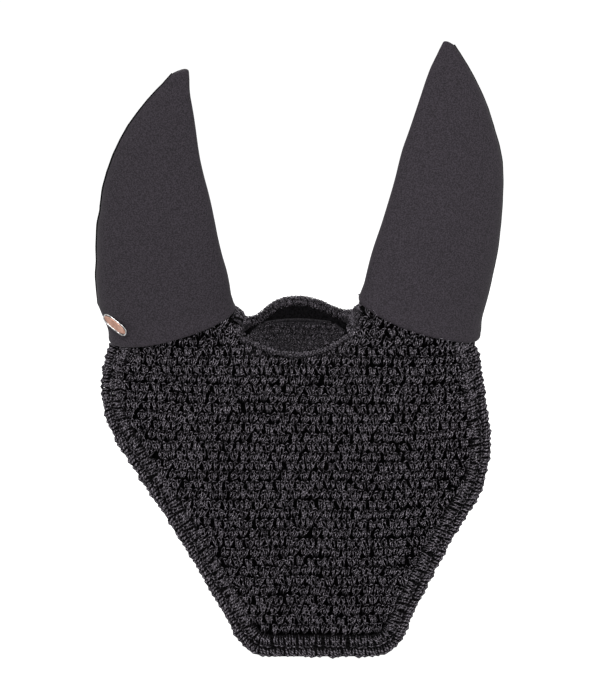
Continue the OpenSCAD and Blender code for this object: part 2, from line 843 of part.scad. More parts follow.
// Upright strip that hangs from a line of points
module hanging_strip(line, height, thickness, relief) {
  rings = [
    for (i = [0:len(line) - 1])
      let (
        along = tangent(line, i),
        out = unit([-along[1], along[0], 0]),
        half = thickness / 2 - (i % 2) * relief,
        drop = [0, 0, -height]
      )
        [line[i] + out * half, line[i] - out * half, line[i] - out * half + drop, line[i] + out * half + drop]
  ];
  skin(rings);
}

module rear_band() {
  color(border_colour) hanging_strip(band_line, band_height, band_thickness, post_relief);
}

module bridge(ear) {
  line = ear_stretch(ear, bridge_from, bridge_to, bridge_steps);
  color(border_colour)
    hanging_strip(line, band_height, band_thickness, post_relief);
}

// Finishing row on the arch
module arch_row() {
  line = [
    for (i = [0:len(arch_line) - 1])
      let (along = tangent(arch_line, i), up = unit([0, 0, 1] - along[2] * along))
        arch_line[i] + up * (arch_row_radius + seam_gap)
  ];
  color(trim_colour) skin(cord_rings(line, same(arch_row_radius, line), [0, 0, 1], cord_sides));
}

band_lining_margin = 2;

// Lining on the inner side of the arch
module band_lining() {
  inward = band_thickness / 2 + seam_gap + lining_thickness / 2;
  line = [
    for (i = [0:len(arch_line) - 1])
      let (along = tangent(arch_line, i))
        arch_line[i] + inward * unit([along[1], -along[0], 0]) - [0, 0, band_lining_margin]
  ];
  color(lining_colour) hanging_strip(line, band_height - 2 * band_lining_margin, lining_thickness, 0);
}

// The badge on the left ear's cuff

badge_share = badge_above_seam / ear_length;
badge_lift = 0.3;
badge_plate_sink = 0.2;
plate_gap = 0.1;
prong_clearance = 0.15;
backing_share = 0.5;
backing_gap = 1.1;
backing_height = 0.8;

badge_point = ear_point(left_ear, badge_share, -badge_turn);
badge_normal = unit(cross(
  ear_point(left_ear, badge_share + 0.01, -badge_turn) - badge_point,
  ear_point(left_ear, badge_share, -badge_turn + 2) - badge_point
));
badge_level = unit(cross([0, 0, 1], badge_normal));
badge_along = unit(
  cos(badge_slope) * badge_level - sin(badge_slope) * cross(badge_normal, badge_level)
);

// Places its children on the ear, with X along the badge and Z out of the fabric
module on_badge() {
  x = badge_along;
  y = cross(badge_normal, x);
  z = badge_normal;
  o = badge_point;
  multmatrix([
    [x[0], y[0], z[0], o[0]], [x[1], y[1], z[1], o[1]], [x[2], y[2], z[2], o[2]], [0, 0, 0, 1]
  ]) children();
}

module oval(length, width, height) {
  scale([length / width, 1, 1]) cylinder(d = width, h = height, $fn = 40);
}

inner_length = badge_length - 2 * badge_rim_width;
inner_width = badge_width - 2 * badge_rim_width;

module badge_rim() {
  color(silver_colour) on_badge() translate([0, 0, badge_lift]) difference() {
    oval(badge_length, badge_width, badge_rim_height);
    translate([0, 0, badge_rim_height / 2]) oval(inner_length, inner_width, badge_rim_height);
  }
}

module badge_plate() {
  rise = badge_lift + badge_rim_height / 2 + plate_gap;
  height = badge_rim_height / 2 - plate_gap - badge_plate_sink;
  color(copper_colour) on_badge() translate([0, 0, rise])
    oval(inner_length - 2 * plate_gap, inner_width - 2 * plate_gap, height);
}

module prong_pair(radius, from, to) {
  for (side = [-1, 1])
    translate([side * prong_spacing / 2, 0, from]) cylinder(r = radius, h = to - from, $fn = 24);
}

backing_top = -ear_wall - backing_gap;

module badge_prongs() {
  color(steel_colour) on_badge() prong_pair(prong_radius, backing_top - backing_height, badge_lift);
}

module badge_backing() {
  color(steel_colour) on_badge() difference() {
    translate([0, 0, backing_top - backing_height])
      oval(badge_length * backing_share, badge_width * backing_share + 2 * prong_radius, backing_height);
    prong_pair(prong_radius + prong_clearance, backing_top - 2 * backing_height, 0);
  }
}

module left_ear_cuff() {
  color(cuff_colour) difference() {
    ear_cuff(left_ear);
    on_badge() prong_pair(prong_radius + prong_clearance, backing_top, badge_lift + badge_rim_height);
  }
}

module right_ear_cuff() { color(cuff_colour) ear_cuff(right_ear); }
module left_ear_cover() { color(fabric_colour) ear_cover(left_ear); }
module right_ear_cover() { color(fabric_colour) ear_cover(right_ear); }

seam_start = 2 * base_seam_share + edge_seam_radius / ear_length;
seam_stop = flex_share - seam_gap / ear_length;
seam_split = flex_share + flex_gap_share;

module cuff_seam(ear) {
  color(thread_colour) edge_seam(ear, seam_start, seam_stop, cuff_seam_steps);
}
module cover_seam(ear) {
  color(thread_colour) edge_seam(ear, seam_split, cover_seam_end, cover_seam_steps);
}

front_panel();
panel_border();
edge_trim();
lip_row();
panel_lining();
flap_hem();
rear_band();
arch_row();
band_lining();
bridge(left_ear);  // left_bridge
bridge(right_ear);  // right_bridge
left_ear_cuff();
left_ear_cover();
cuff_seam(left_ear);  // left_cuff_seam
cover_seam(left_ear);  // left_ear_seam
color(thread_colour) base_seam(left_ear);  // left_base_seam
right_ear_cuff();
right_ear_cover();
cuff_seam(right_ear);  // right_cuff_seam
cover_seam(right_ear);  // right_ear_seam
color(thread_colour) base_seam(right_ear);  // right_base_seam
badge_rim();
badge_plate();
badge_prongs();
badge_backing();
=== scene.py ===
# %% [markdown]
# # A crocheted ear bonnet
#
# This horse bonnet is a crocheted front panel with a stitched border, a ring of crochet round the
# poll opening, a dark lining and two ear covers of smooth stretch fabric with a small metal badge.
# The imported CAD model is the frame: every piece below is placed on it, in metres.

# %% Load the frame
import json
import math

import bpy
import numpy as np
from mathutils import Matrix, Vector, noise
from mathutils.bvhtree import BVHTree

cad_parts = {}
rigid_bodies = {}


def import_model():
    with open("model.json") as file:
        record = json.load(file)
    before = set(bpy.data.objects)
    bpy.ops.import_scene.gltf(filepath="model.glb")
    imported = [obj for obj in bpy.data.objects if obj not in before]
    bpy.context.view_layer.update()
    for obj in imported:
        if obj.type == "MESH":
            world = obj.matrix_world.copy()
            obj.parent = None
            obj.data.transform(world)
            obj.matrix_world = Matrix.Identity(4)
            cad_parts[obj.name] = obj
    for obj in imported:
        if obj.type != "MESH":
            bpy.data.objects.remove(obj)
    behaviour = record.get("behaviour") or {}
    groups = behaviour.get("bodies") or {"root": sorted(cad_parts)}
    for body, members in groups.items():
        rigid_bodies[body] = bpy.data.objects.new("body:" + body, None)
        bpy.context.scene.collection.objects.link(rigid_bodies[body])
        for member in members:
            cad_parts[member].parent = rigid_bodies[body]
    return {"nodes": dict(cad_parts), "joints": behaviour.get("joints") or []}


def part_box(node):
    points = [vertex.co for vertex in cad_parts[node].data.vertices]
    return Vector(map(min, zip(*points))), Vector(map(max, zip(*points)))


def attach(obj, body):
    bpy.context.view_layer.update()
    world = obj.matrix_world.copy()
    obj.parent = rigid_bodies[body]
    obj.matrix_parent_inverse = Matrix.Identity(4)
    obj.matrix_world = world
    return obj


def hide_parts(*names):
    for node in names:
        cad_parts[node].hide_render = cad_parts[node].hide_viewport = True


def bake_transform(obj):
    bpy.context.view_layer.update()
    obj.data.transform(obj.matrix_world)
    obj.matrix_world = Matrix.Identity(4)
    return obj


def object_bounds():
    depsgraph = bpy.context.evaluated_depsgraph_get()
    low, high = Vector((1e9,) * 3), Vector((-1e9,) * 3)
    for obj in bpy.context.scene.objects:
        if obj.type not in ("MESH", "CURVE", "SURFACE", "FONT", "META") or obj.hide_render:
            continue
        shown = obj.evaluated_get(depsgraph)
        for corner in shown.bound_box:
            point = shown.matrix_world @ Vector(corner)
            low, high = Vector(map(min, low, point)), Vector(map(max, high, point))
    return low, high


bpy.ops.object.select_all(action="SELECT")
bpy.ops.object.delete()
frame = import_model()
cad_low, cad_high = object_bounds()
nodes = frame["nodes"]
joints = {joint["name"]: joint for joint in frame["joints"]}
bpy.ops.object.select_all(action="DESELECT")
rng = np.random.default_rng(7)
MM = 0.001
print("frame", len(nodes), "nodes, box", [round(x, 4) for x in cad_high - cad_low])

# %% [markdown]
# ## Camera and studio
#
# The photograph was taken from far away, a little above the poll, so the lens is long and the view
# almost parallel. The image is 600 by 700 pixels and one pixel is 0.78 mm at the panel. Three soft
# lamps light the bonnet in a dim white world. The camera and reflections see that world brighter, and
# the floor glows for the camera alone, so that both come out white without lighting the bonnet.

# %% Camera
PIXEL = 0.78 * MM
IMAGE_HEIGHT = 700 * PIXEL
CAMERA_DISTANCE = 10.0
CAMERA_RISE = math.radians(6)
AIM = Vector((-7.8 * MM, -15 * MM, -18 * MM))
SENSOR = 36

bpy.ops.object.camera_add()
camera = bpy.context.object
camera.name = "studio_camera"
camera.data.sensor_width = SENSOR
camera.data.lens = SENSOR * CAMERA_DISTANCE / IMAGE_HEIGHT
towards_camera = Vector((0, -math.cos(CAMERA_RISE), math.sin(CAMERA_RISE)))
camera.location = AIM + towards_camera * CAMERA_DISTANCE
camera.rotation_euler = (-towards_camera).to_track_quat("-Z", "Y").to_euler()
camera.data.clip_end = 50
bpy.context.scene.camera = camera
print("lens", round(camera.data.lens), "mm")

# %% Lamps
bpy.context.scene.view_settings.view_transform = "Standard"


def softbox(name, place, size, power):
    """A large square lamp that faces the bonnet."""
    bpy.ops.object.light_add(type="AREA", location=place)
    lamp = bpy.context.object
    lamp.name = name
    lamp.data.size = size
    lamp.data.energy = power
    lamp.rotation_euler = (AIM - Vector(place)).to_track_quat("-Z", "Y").to_euler()


LAMP_SIZE = 1.6
softbox("key_softbox", (-1.1, -2.2, 2.2), LAMP_SIZE, power=40)
softbox("fill_softbox", (1.9, -2.0, 0.9), LAMP_SIZE, power=14)
softbox("back_softbox", (0.3, 2.4, 1.8), LAMP_SIZE, power=26)


# %% Node helpers
def add(tree, kind, inputs=(), **settings):
    """A new shader node; its inputs, by name or place, are given numbers or the sockets that feed them."""
    made = tree.nodes.new("ShaderNode" + kind)
    for name, value in settings.items():
        setattr(made, name, value)
    for place, value in dict(inputs).items():
        if isinstance(value, bpy.types.NodeSocket):
            tree.links.new(value, made.inputs[place])
        else:
            made.inputs[place].default_value = value
    return made


def math_node(tree, operation, *values):
    """The result of a Math node on sockets or numbers."""
    return add(tree, "Math", enumerate(values), operation=operation).outputs[0]


def new_finish(name, values):
    """A material, its node tree and its main shader, with values for some of that shader's inputs."""
    made = bpy.data.materials.new(name)
    made.use_nodes = True
    shader = made.node_tree.nodes["Principled BSDF"]
    for place, value in values.items():
        shader.inputs[place].default_value = value
    return made, made.node_tree, shader


print("node helpers ready")

# %% White backdrop
WORLD_LEVEL = 0.3
world = bpy.data.worlds.new("white_studio")
bpy.context.scene.world = world
world.use_nodes = True
tree = world.node_tree
ambient = tree.nodes["Background"]
ambient.inputs["Strength"].default_value = WORLD_LEVEL
ambient.inputs["Color"].default_value = (1, 1, 1, 1)
backdrop = add(tree, "Background", {"Strength": 1})
path = add(tree, "LightPath").outputs
seen = math_node(tree, "MAXIMUM", path["Is Camera Ray"], path["Is Glossy Ray"])
seen = math_node(tree, "MAXIMUM", seen, path["Is Transmission Ray"])
mix = add(tree, "MixShader", {0: seen, 1: ambient.outputs[0], 2: backdrop.outputs[0]})
tree.links.new(mix.outputs[0], tree.nodes["World Output"].inputs["Surface"])
print("backdrop", world.name)

# %% Floor
FLOOR_SIZE = 40
FLOOR_DROP = 2 * MM
FLOOR_GLOW = 0.8
bpy.ops.mesh.primitive_plane_add(size=FLOOR_SIZE, location=(0, 0, cad_low.z - FLOOR_DROP))
floor = bpy.context.object
floor.name = "studio_floor"
floor_paint, tree, shader = new_finish("floor_paint", {
    "Base Color": (0.86, 0.86, 0.86, 1), "Roughness": 0.9, "Specular IOR Level": 0})
unlit, glow = (add(tree, "Emission", {"Strength": level}).outputs[0] for level in (0, FLOOR_GLOW))
mix = add(tree, "MixShader", {0: add(tree, "LightPath").outputs["Is Camera Ray"], 1: unlit, 2: glow})
total = add(tree, "AddShader", {0: shader.outputs[0], 1: mix.outputs[0]})
tree.links.new(total.outputs[0], tree.nodes["Material Output"].inputs["Surface"])
floor.data.materials.append(floor_paint)
print("floor", floor.name)

# %% [markdown]
# ## Finishes
#
# Four cloths make the bonnet: plied cotton yarn, smooth stretch fabric, fine lining and sewing
# thread. The twist of a yarn and the grain of a cloth are each a node group with named sockets, so
# that every finish can use them with its own values. The net's yarn is a copy of the border's,
# lightened with painted light, because its thin strands turn more of their surface away from the light.


# %% Node group helpers
def number_group(name, inputs, outputs):
    """A node group with sockets inside its two ends; an input without a number is a vector."""
    group = bpy.data.node_groups.new(name, "ShaderNodeTree")
    for label, value in inputs.items():
        kind = "NodeSocketVector" if value is None else "NodeSocketFloat"
        made = group.interface.new_socket(name=label, in_out="INPUT", socket_type=kind)
        if value is not None:
            made.default_value = value
    for label in outputs:
        group.interface.new_socket(name=label, in_out="OUTPUT", socket_type="NodeSocketFloat")
    return group, group.nodes.new("NodeGroupInput").outputs, group.nodes.new("NodeGroupOutput").inputs


def ridges(group, phase):
    """One rounded ridge for each whole number of phase."""
    wave = math_node(group, "SINE", math_node(group, "MULTIPLY", phase, math.pi))
    return math_node(group, "ABSOLUTE", wave)


def clouds(group, scale, detail, target):
    """Feeds a target with noise that stays with the object."""
    where = add(group, "TexCoord").outputs["Object"]
    made = add(group, "TexNoise", {"Vector": where, "Scale": scale, "Detail": detail})
    group.links.new(made.outputs["Fac"], target)


print("group helpers ready")


# %% Twist and grain
def twist_group():
    """Plies that wind round a strand: UV x is once round the strand, UV y is metres along it."""
    group, inside, outside = number_group(
        "yarn_twist", {"UV": None, "Plies": 3, "Turns per metre": 300, "Fuzz scale": 900}, ("Ply", "Fuzz"))
    split = add(group, "SeparateXYZ", {0: inside["UV"]}).outputs
    round_turns = math_node(group, "MULTIPLY", split["X"], inside["Plies"])
    long_turns = math_node(group, "MULTIPLY", split["Y"], inside["Turns per metre"])
    group.links.new(ridges(group, math_node(group, "ADD", round_turns, long_turns)), outside["Ply"])
    clouds(group, inside["Fuzz scale"], 3, outside["Fuzz"])
    return group


def grain_group():
    """A fine knit: two crossed waves on the UV map in metres, with a slow mottle over it."""
    group, inside, outside = number_group(
        "cloth_grain", {"UV": None, "Threads per metre": 1600, "Mottle scale": 60}, ("Thread", "Mottle"))
    split = add(group, "SeparateXYZ", {0: inside["UV"]}).outputs
    waves = [ridges(group, math_node(group, "MULTIPLY", split[axis], inside["Threads per metre"]))
             for axis in ("X", "Y")]
    group.links.new(math_node(group, "MULTIPLY", *waves), outside["Thread"])
    clouds(group, inside["Mottle scale"], 5, outside["Mottle"])
    return group


YARN_TWIST = twist_group()
CLOTH_GRAIN = grain_group()
print("node groups", YARN_TWIST.name, CLOTH_GRAIN.name)


# %% Shader helpers
def ramp(tree, source, low, high, dark, light):
    """Maps source from low..high to a colour from dark to light."""
    made = add(tree, "ValToRGB", {0: source})
    for stop, position, colour in zip(made.color_ramp.elements, (low, high), (dark, light)):
        stop.position = position
        stop.color = (*colour, 1)
    return made.outputs[0]


def multiply(tree, first, second):
    return add(tree, "Mix", {0: 1, 6: first, 7: second}, data_type="RGBA", blend_type="MULTIPLY").outputs[2]


def bump(tree, shader, height, strength, distance):
    made = add(tree, "Bump", {"Strength": strength, "Distance": distance, "Height": height})
    tree.links.new(made.outputs[0], shader.inputs["Normal"])


def soft(name, group, values, threads, mottle, painted_shade_ramp, relief, roughness, sheen, gloss):
    """A yarn or cloth, with a node group for its threads and its mottle.

    The colours of its threads, its mottle and the painted shade that darkens its hollows are ramps, and are
    multiplied.
    """
    made, tree, shader = new_finish(name, {"Roughness": roughness, "Specular IOR Level": gloss,
                                           "Sheen Weight": sheen, "Sheen Roughness": 0.5})
    where = add(tree, "UVMap", uv_map="lay").outputs[0]
    pattern = add(tree, "Group", {"UV": where, **values}, node_tree=group).outputs
    # The height attribute holds each point's painted shade level, and a ramp below turns it into painted
    # shade.
    height = add(tree, "Attribute", attribute_name="height").outputs["Fac"]
    tint = multiply(tree, ramp(tree, pattern[0], *threads), ramp(tree, pattern[1], *mottle))
    tint = multiply(tree, tint, ramp(tree, height, *painted_shade_ramp))
    tree.links.new(tint, shader.inputs["Base Color"])
    bump(tree, shader, pattern[0], *relief)
    return made


print("shader helpers ready")


# %% Yarn, fabric, lining and thread
PLIES = 2
YARN_TURNS = 430
THREAD_TURNS = 900
CLOTH_THREADS = 1500
WHITE = (1.0,) * 3


def yarn(name, dark, light, turns):
    # The dark end of the twist ramp is painted shade in the grooves between the plies.
    return soft(name, YARN_TWIST, {"Plies": PLIES, "Turns per metre": turns}, (0.3, 0.75, dark, light),
                mottle=(0.4, 0.6, (0.2,) * 3, (1.8,) * 3), painted_shade_ramp=(0.33, 0.8, (0.015,) * 3, WHITE),
                relief=(0.6, 0.3 * MM), roughness=0.8, sheen=0.0, gloss=0.08)


def cloth(name, dark, light, depth, speckle, **surface):
    """A fine cloth; speckle is the scale of its mottle and how far that darkens and lightens it."""
    scale, low, high = speckle
    return soft(name, CLOTH_GRAIN, {"Threads per metre": CLOTH_THREADS, "Mottle scale": scale},
                (0, 0.9, dark, light), mottle=(0.38, 0.62, (low,) * 3, (high,) * 3),
                painted_shade_ramp=(0, 1, (0.06,) * 3, WHITE), relief=(0.25, depth), **surface)


# Painted shade in the grooves between plies.
PLY_GROOVE_SHADE = (0.003, 0.0027, 0.0032)
crochet_yarn = yarn("charcoal_yarn", PLY_GROOVE_SHADE, (0.252, 0.2295, 0.262), YARN_TURNS)
# The same yarn, lightened with painted light for the net's thin strands.
lightened_net_yarn = yarn("charcoal_yarn_painted_lighter", PLY_GROOVE_SHADE, (0.372, 0.339, 0.386), YARN_TURNS)
# Black thread for the real seams, dark enough to also give the painted shadow lines beside them.
seam_thread = yarn("black_thread_and_painted_shadow", (0.004, 0.004, 0.0045), (0.014, 0.0135, 0.0145), THREAD_TURNS)
ear_fabric = cloth("charcoal_stretch", (0.033, 0.0275, 0.0345), (0.055, 0.046, 0.0575), 0.08 * MM,
                   (1000, 0.55, 1.45), roughness=0.8, sheen=0.1, gloss=0.25)
lining_cloth = cloth("dark_lining", (0.012, 0.0112, 0.0128), (0.05, 0.0465, 0.0525), 0.1 * MM,
                     (800, 0.35, 1.65), roughness=0.9, sheen=0.0, gloss=0.05)
print("finishes", [m.name for m in bpy.data.materials])

# %% [markdown]
# ## Reading the frame
#
# A crochet stitch has to lie on a curved panel, so the script first measures the CAD solids. A
# plane cut through a node gives the points where it crosses that node's edges, and a fan of such
# cuts round a centre gives the inner and outer line of any strip.


# %% Cuts through the CAD nodes
def points_of(name):
    return np.array([v.co for v in nodes[name].data.vertices])


def triangles(names):
    """Points of some nodes, and the three corners of each of their triangles."""
    points, corners, start = [], [], 0
    for name in names:
        mesh = nodes[name].data
        mesh.calc_loop_triangles()
        points.append(points_of(name))
        corners.append(start + np.array([t.vertices[:] for t in mesh.loop_triangles]))
        start += len(points[-1])
    return np.concatenate(points), np.concatenate(corners)


def edges_of(name):
    points, corners = triangles([name])
    return np.concatenate([points[corners[:, pair]] for pair in ([0, 1], [1, 2], [2, 0])])


def cut(edges, point, normal):
    """Points where the edges cross a plane."""
    side = (edges - point) @ normal
    crossing = side[:, 0] * side[:, 1] < 0
    share = side[crossing, 0] / (side[crossing, 0] - side[crossing, 1])
    start, end = edges[crossing, 0], edges[crossing, 1]
    return start + share[:, None] * (end - start)


def fan(edges, centre, across, up, angles):
    """For each angle, the points of a half-plane cut, or None: half-planes turn from across to up."""
    for angle in angles:
        ray = math.cos(angle) * across + math.sin(angle) * up
        facing = -math.sin(angle) * across + math.cos(angle) * up
        points = cut(edges, centre, facing)
        points = points[(points - centre) @ ray > 0]
        yield angle, ray, points if len(points) else None


print("cuts ready")


# %% Lines and directions
def units(vectors):
    return vectors / np.linalg.norm(vectors, axis=-1, keepdims=True)


def run_of(line):
    """How far along a line each of its points is."""
    return np.concatenate([[0], np.cumsum(np.linalg.norm(np.diff(line, axis=0), axis=1))])


def read(u, run, values):
    """What the rows of values come to at lengths u along a line."""
    return np.stack([np.interp(u, run, column) for column in values.T], -1)


X, Y, Z = np.eye(3)
PANEL_CENTRE = np.array([-0.010, 0, -0.120])


def reach_round(name, angles):
    """How far a node runs from the panel's centre, at each angle."""
    return np.array([((points - PANEL_CENTRE) @ ray).max() for _, ray, points in
                     fan(edges_of(name), PANEL_CENTRE, X, Z, angles)])


print("panel centre", PANEL_CENTRE)

# %% The panel's middle surface
GRID = 4 * MM
LINING_BACKSET = 2.9 * MM
SURFACE_FRONTS = (("panel_lining", LINING_BACKSET), ("panel_border", -1.8 * MM), ("edge_trim", -2.5 * MM))
REACH = 24 * MM
GRID_TOP = 30 * MM
IN_FRONT = -0.4


def bvh(*names):
    points, corners = triangles(names)
    return BVHTree.FromPolygons(points.tolist(), corners.tolist())


grid_x = np.arange(cad_low.x - REACH, cad_high.x + REACH, GRID)
grid_z = np.arange(cad_low.z - REACH, GRID_TOP, GRID)
surface = np.full((len(grid_x), len(grid_z)), np.nan)
for name, backset in SURFACE_FRONTS:
    solid = bvh(name)
    for i, x in enumerate(grid_x):
        for k, z in enumerate(grid_z):
            if np.isnan(surface[i, k]):
                hit = solid.ray_cast(Vector((x, IN_FRONT, z)), Vector((0, 1, 0)))[0]
                if hit is not None:
                    surface[i, k] = hit.y - backset
print("measured", (~np.isnan(surface)).sum(), "of", surface.size, "places")

# %% Filling the surface
SMOOTH_PASSES = 3


def neighbours(values):
    padded = np.pad(values, 1, constant_values=np.nan)
    return np.stack([padded[1 + i : padded.shape[0] - 1 + i, 1 + k : padded.shape[1] - 1 + k]
                     for i in (-1, 0, 1) for k in (-1, 0, 1)])


def fill(values):
    """Spreads the measured depths outwards, then smooths the facets away."""
    values = values.copy()
    while np.isnan(values).any():
        around = neighbours(values)
        count = (~np.isnan(around)).sum(0)
        mean = np.nansum(around, 0) / np.maximum(count, 1)
        empty = np.isnan(values) & (count > 0)
        values[empty] = mean[empty]
    for _ in range(SMOOTH_PASSES):
        values = np.nanmean(neighbours(values), 0)
    return values


surface = fill(surface)
slope_x, slope_z = np.gradient(surface, GRID)
print("panel surface", surface.shape, "depth", round(surface.min(), 4), round(surface.max(), 4))

# %% Placing points on the surface
LAST_CELL = 1.001


def sample(values, x, z):
    """Bilinear reading of a grid at arrays x and z."""
    i = np.clip((x - grid_x[0]) / GRID, 0, len(grid_x) - LAST_CELL)
    k = np.clip((z - grid_z[0]) / GRID, 0, len(grid_z) - LAST_CELL)
    i0, k0 = i.astype(int), k.astype(int)
    fi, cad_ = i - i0, k - k0
    return (values[i0, k0] * (1 - fi) * (1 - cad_) + values[i0 + 1, k0] * fi * (1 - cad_)
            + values[i0, k0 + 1] * (1 - fi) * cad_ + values[i0 + 1, k0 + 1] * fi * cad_)


def on_panel(x, z, proud):
    """Points on the panel's middle surface, raised forwards by proud along its normal."""
    y = sample(surface, x, z)
    normal = units(np.stack([sample(slope_x, x, z), -np.ones_like(y), sample(slope_z, x, z)], -1))
    return np.stack([x, y, z], -1) + normal * proud[..., None]


print("at the panel's centre", on_panel(*PANEL_CENTRE[[0, 2], None], np.zeros(1)).round(4))

# %% [markdown]
# ## Stitches
#
# Crochet is one strand worked into loops, and what the eye sees of it is a few short bent strands a
# stitch. Each kind of stitch is modelled a few times from such strands, with a handful of faces each,
# and copied along the panel, bent to its surface and varied a little, as handwork is.


# %% Strands
# Three-sided strands get a softer painted shade round their backs.
FLAT_SIDES = 3
FLAT_SOFTEN = 0.5
STRAND_FRONT = np.array([0.13, 0.07, 1.0])


def sheet_grid(rows, columns, closed):
    """Faces of a grid of points, row by row; a closed grid joins its last column to its first."""
    faces = []
    for row in range(rows - 1):
        for column in range(columns if closed else columns - 1):
            after = (column + 1) % columns
            faces.append([row * columns + column, row * columns + after,
                          (row + 1) * columns + after, (row + 1) * columns + column])
    return faces


def strand(points, radii, sides=4):
    """A bent strand as (points, faces, UV of each corner, relief of each point).

    UV x goes once round, UV y is metres along it, and relief is 1 along its front and least along its
    back, where it becomes painted shade on the strand.
    """
    points = np.array(points, float)
    radii = np.broadcast_to(radii, len(points))
    tangent = units(np.gradient(points, axis=0))
    first = units(np.cross(tangent, STRAND_FRONT))
    second = np.cross(first, tangent)
    length = run_of(points)
    corners = []
    for k in range(len(points)):
        for side in range(sides):
            turn = math.pi / 2 + 2 * math.pi * side / sides
            corners.append(points[k] + radii[k] * (math.cos(turn) * first[k] + math.sin(turn) * second[k]))
    faces = sheet_grid(len(points), sides, True)
    lays = [((side + across) / sides, length[k + ahead]) for k in range(len(points) - 1)
            for side in range(sides) for across, ahead in ((0, 0), (1, 0), (1, 1), (0, 1))]
    last = (len(points) - 1) * sides
    faces += [list(range(sides))[::-1], list(range(last, last + sides))]
    lays += [(side / sides, length[0]) for side in range(sides)][::-1]
    lays += [(side / sides, length[-1]) for side in range(sides)]
    soften = FLAT_SOFTEN if sides == FLAT_SIDES else 1
    relief = (0.5 + 0.5 * np.cos(2 * math.pi * np.arange(sides) / sides)) ** soften
    return np.array(corners), faces, np.array(lays), np.tile(relief, len(points))


print("strand front", STRAND_FRONT)

# %% Strands worked by hand
STRAY_SHARES = (1, 1, 0.6)
TWIST_SHIFT = (1, 0.01)


def by_hand(points, radii, loose, sides=4, scale=1, leans=0):
    """A strand whose points lean and stray a little, as a hand leaves them, with a twist of its own."""
    leant = np.array(points) * scale + np.outer(leans, X)
    stray = rng.normal(0, loose, (len(points), 3)) * STRAY_SHARES
    corners, faces, lays, relief = strand(leant + stray, np.array(radii) * MM, sides)
    return corners, faces, lays + rng.random(2) * TWIST_SHIFT, relief


def joined(*meshes):
    """The corners, faces, lays and painted shade levels of some meshes as one."""
    faces, start = [], 0
    for corners, loops, _, _ in meshes:
        faces += [[start + i for i in loop] for loop in loops]
        start += len(corners)
    corners, lays, painted_shade_levels = (np.concatenate([mesh[part] for mesh in meshes]) for part in (0, 2, 3))
    return corners, faces, lays, painted_shade_levels


print("strand tools ready")


# %% Making a piece
def piece(name, corners, faces, lays, painted_shade_levels, finish, slot):
    """A mesh object with its UV map, and a painted shade level for each point in its height attribute, from
    0, darkest, to 1, unshaded.
    """
    mesh = bpy.data.meshes.new(name)
    mesh.from_pydata(np.asarray(corners).tolist(), [], faces)
    layer = mesh.uv_layers.new(name="lay")
    layer.data.foreach_set("uv", np.asarray(lays, np.float32).ravel())
    mesh.polygons.foreach_set("use_smooth", [True] * len(mesh.polygons))
    proud = mesh.attributes.new("height", "FLOAT", "POINT")
    proud.data.foreach_set("value", np.broadcast_to(painted_shade_levels, len(mesh.vertices)).astype(np.float32))
    mesh.materials.append(finish)
    mesh.validate()
    made = bpy.data.objects.new(name, mesh)
    bpy.context.scene.collection.objects.link(made)
    return made


def crochet(name, node, parts, finish):
    """A piece of crochet on the bonnet, in place of a CAD node."""
    made = piece(name, *parts, finish, "crochet_yarn")
    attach(made, "bonnet")
    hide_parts(node)
    print(name, len(made.data.polygons), "faces")


print("piece tools ready")

# %% Stamping stitches
# How far out a strand must stand to get no painted shade.
YARN_PROUD = 2.2 * MM


def stamp(patterns, spots, place):
    """Copies of patterns at spots (u, w, turn, size, which), bent onto a surface by place(u, w, n)."""
    spots, meshes = np.asarray(spots, float), []
    for which, (points, loops, lay, relief) in enumerate(patterns):
        here = spots[spots[:, 4].astype(int) == which]
        if not len(here):
            continue
        turn, size = here[:, 2:3], here[:, 3:4]
        u = here[:, 0:1] + size * (points[:, 0] * np.cos(turn) - points[:, 1] * np.sin(turn))
        w = here[:, 1:2] + size * (points[:, 0] * np.sin(turn) + points[:, 1] * np.cos(turn))
        corners = place(u, w, size * points[:, 2]).reshape(-1, 3)
        faces = [[copy * len(points) + i for i in loop] for copy in range(len(here)) for loop in loops]
        lays = (lay + rng.random((len(here), 1, 2)) * TWIST_SHIFT).reshape(-1, 2)
        # Painted shade: each copy is darker along the back of its strands and the deeper it lies in the
        # cloth.
        proud = relief * np.clip(points[:, 2] / YARN_PROUD, 0, 1)
        meshes.append((corners, faces, lays, np.tile(proud, len(here))))
    return joined(*meshes)


print("stitch tools ready")

# %% [markdown]
# ## The net
#
# The net is rows of fans, each worked into the space between two fans of the row below, which leaves
# a lattice of small dark holes. Holes could be cut in a sheet, but here the strands themselves leave
# them open. A fan is four strands, two wraps and two loops; ten of them, no two alike, are copied.

# %% A fan of the net
STITCH_W = 8.0 * MM
STITCH_H = 7.5 * MM


def net_fan(lean, loose):
    """Four strands that open out from one space, two that wrap across them, and the loops that top them."""
    shaped = loose, FLAT_SIDES, (STITCH_W, STITCH_H, MM)
    legs = [by_hand([(foot - lean, -0.6, 0.2), (0.55 * foot + 0.45 * head, -0.14, 1.3),
                     (head + lean, 0.4, 0.6)], [0.55, 0.7, 0.58], *shaped)
            for foot, head in ((-0.16, -0.44), (-0.02, -0.17), (0.03, 0.15), (0.17, 0.42))]
    wraps = [by_hand([(side * 0.37, -0.2, 0.9), (side * 0.24, 0.02, 1.9), (side * 0.04, 0.22, 1.0)],
                     [0.45, 0.6, 0.45], *shaped) for side in (-1, 1)]
    loops = [by_hand([(k - 0.26 + lean, 0.26, 0.5), (k + lean, 0.5, 1.6), (k + 0.26 + lean, 0.34, 0.4)],
                     [0.5, 0.7, 0.5], *shaped) for k in (-0.25, 0.25)]
    return joined(*legs, *wraps, *loops)


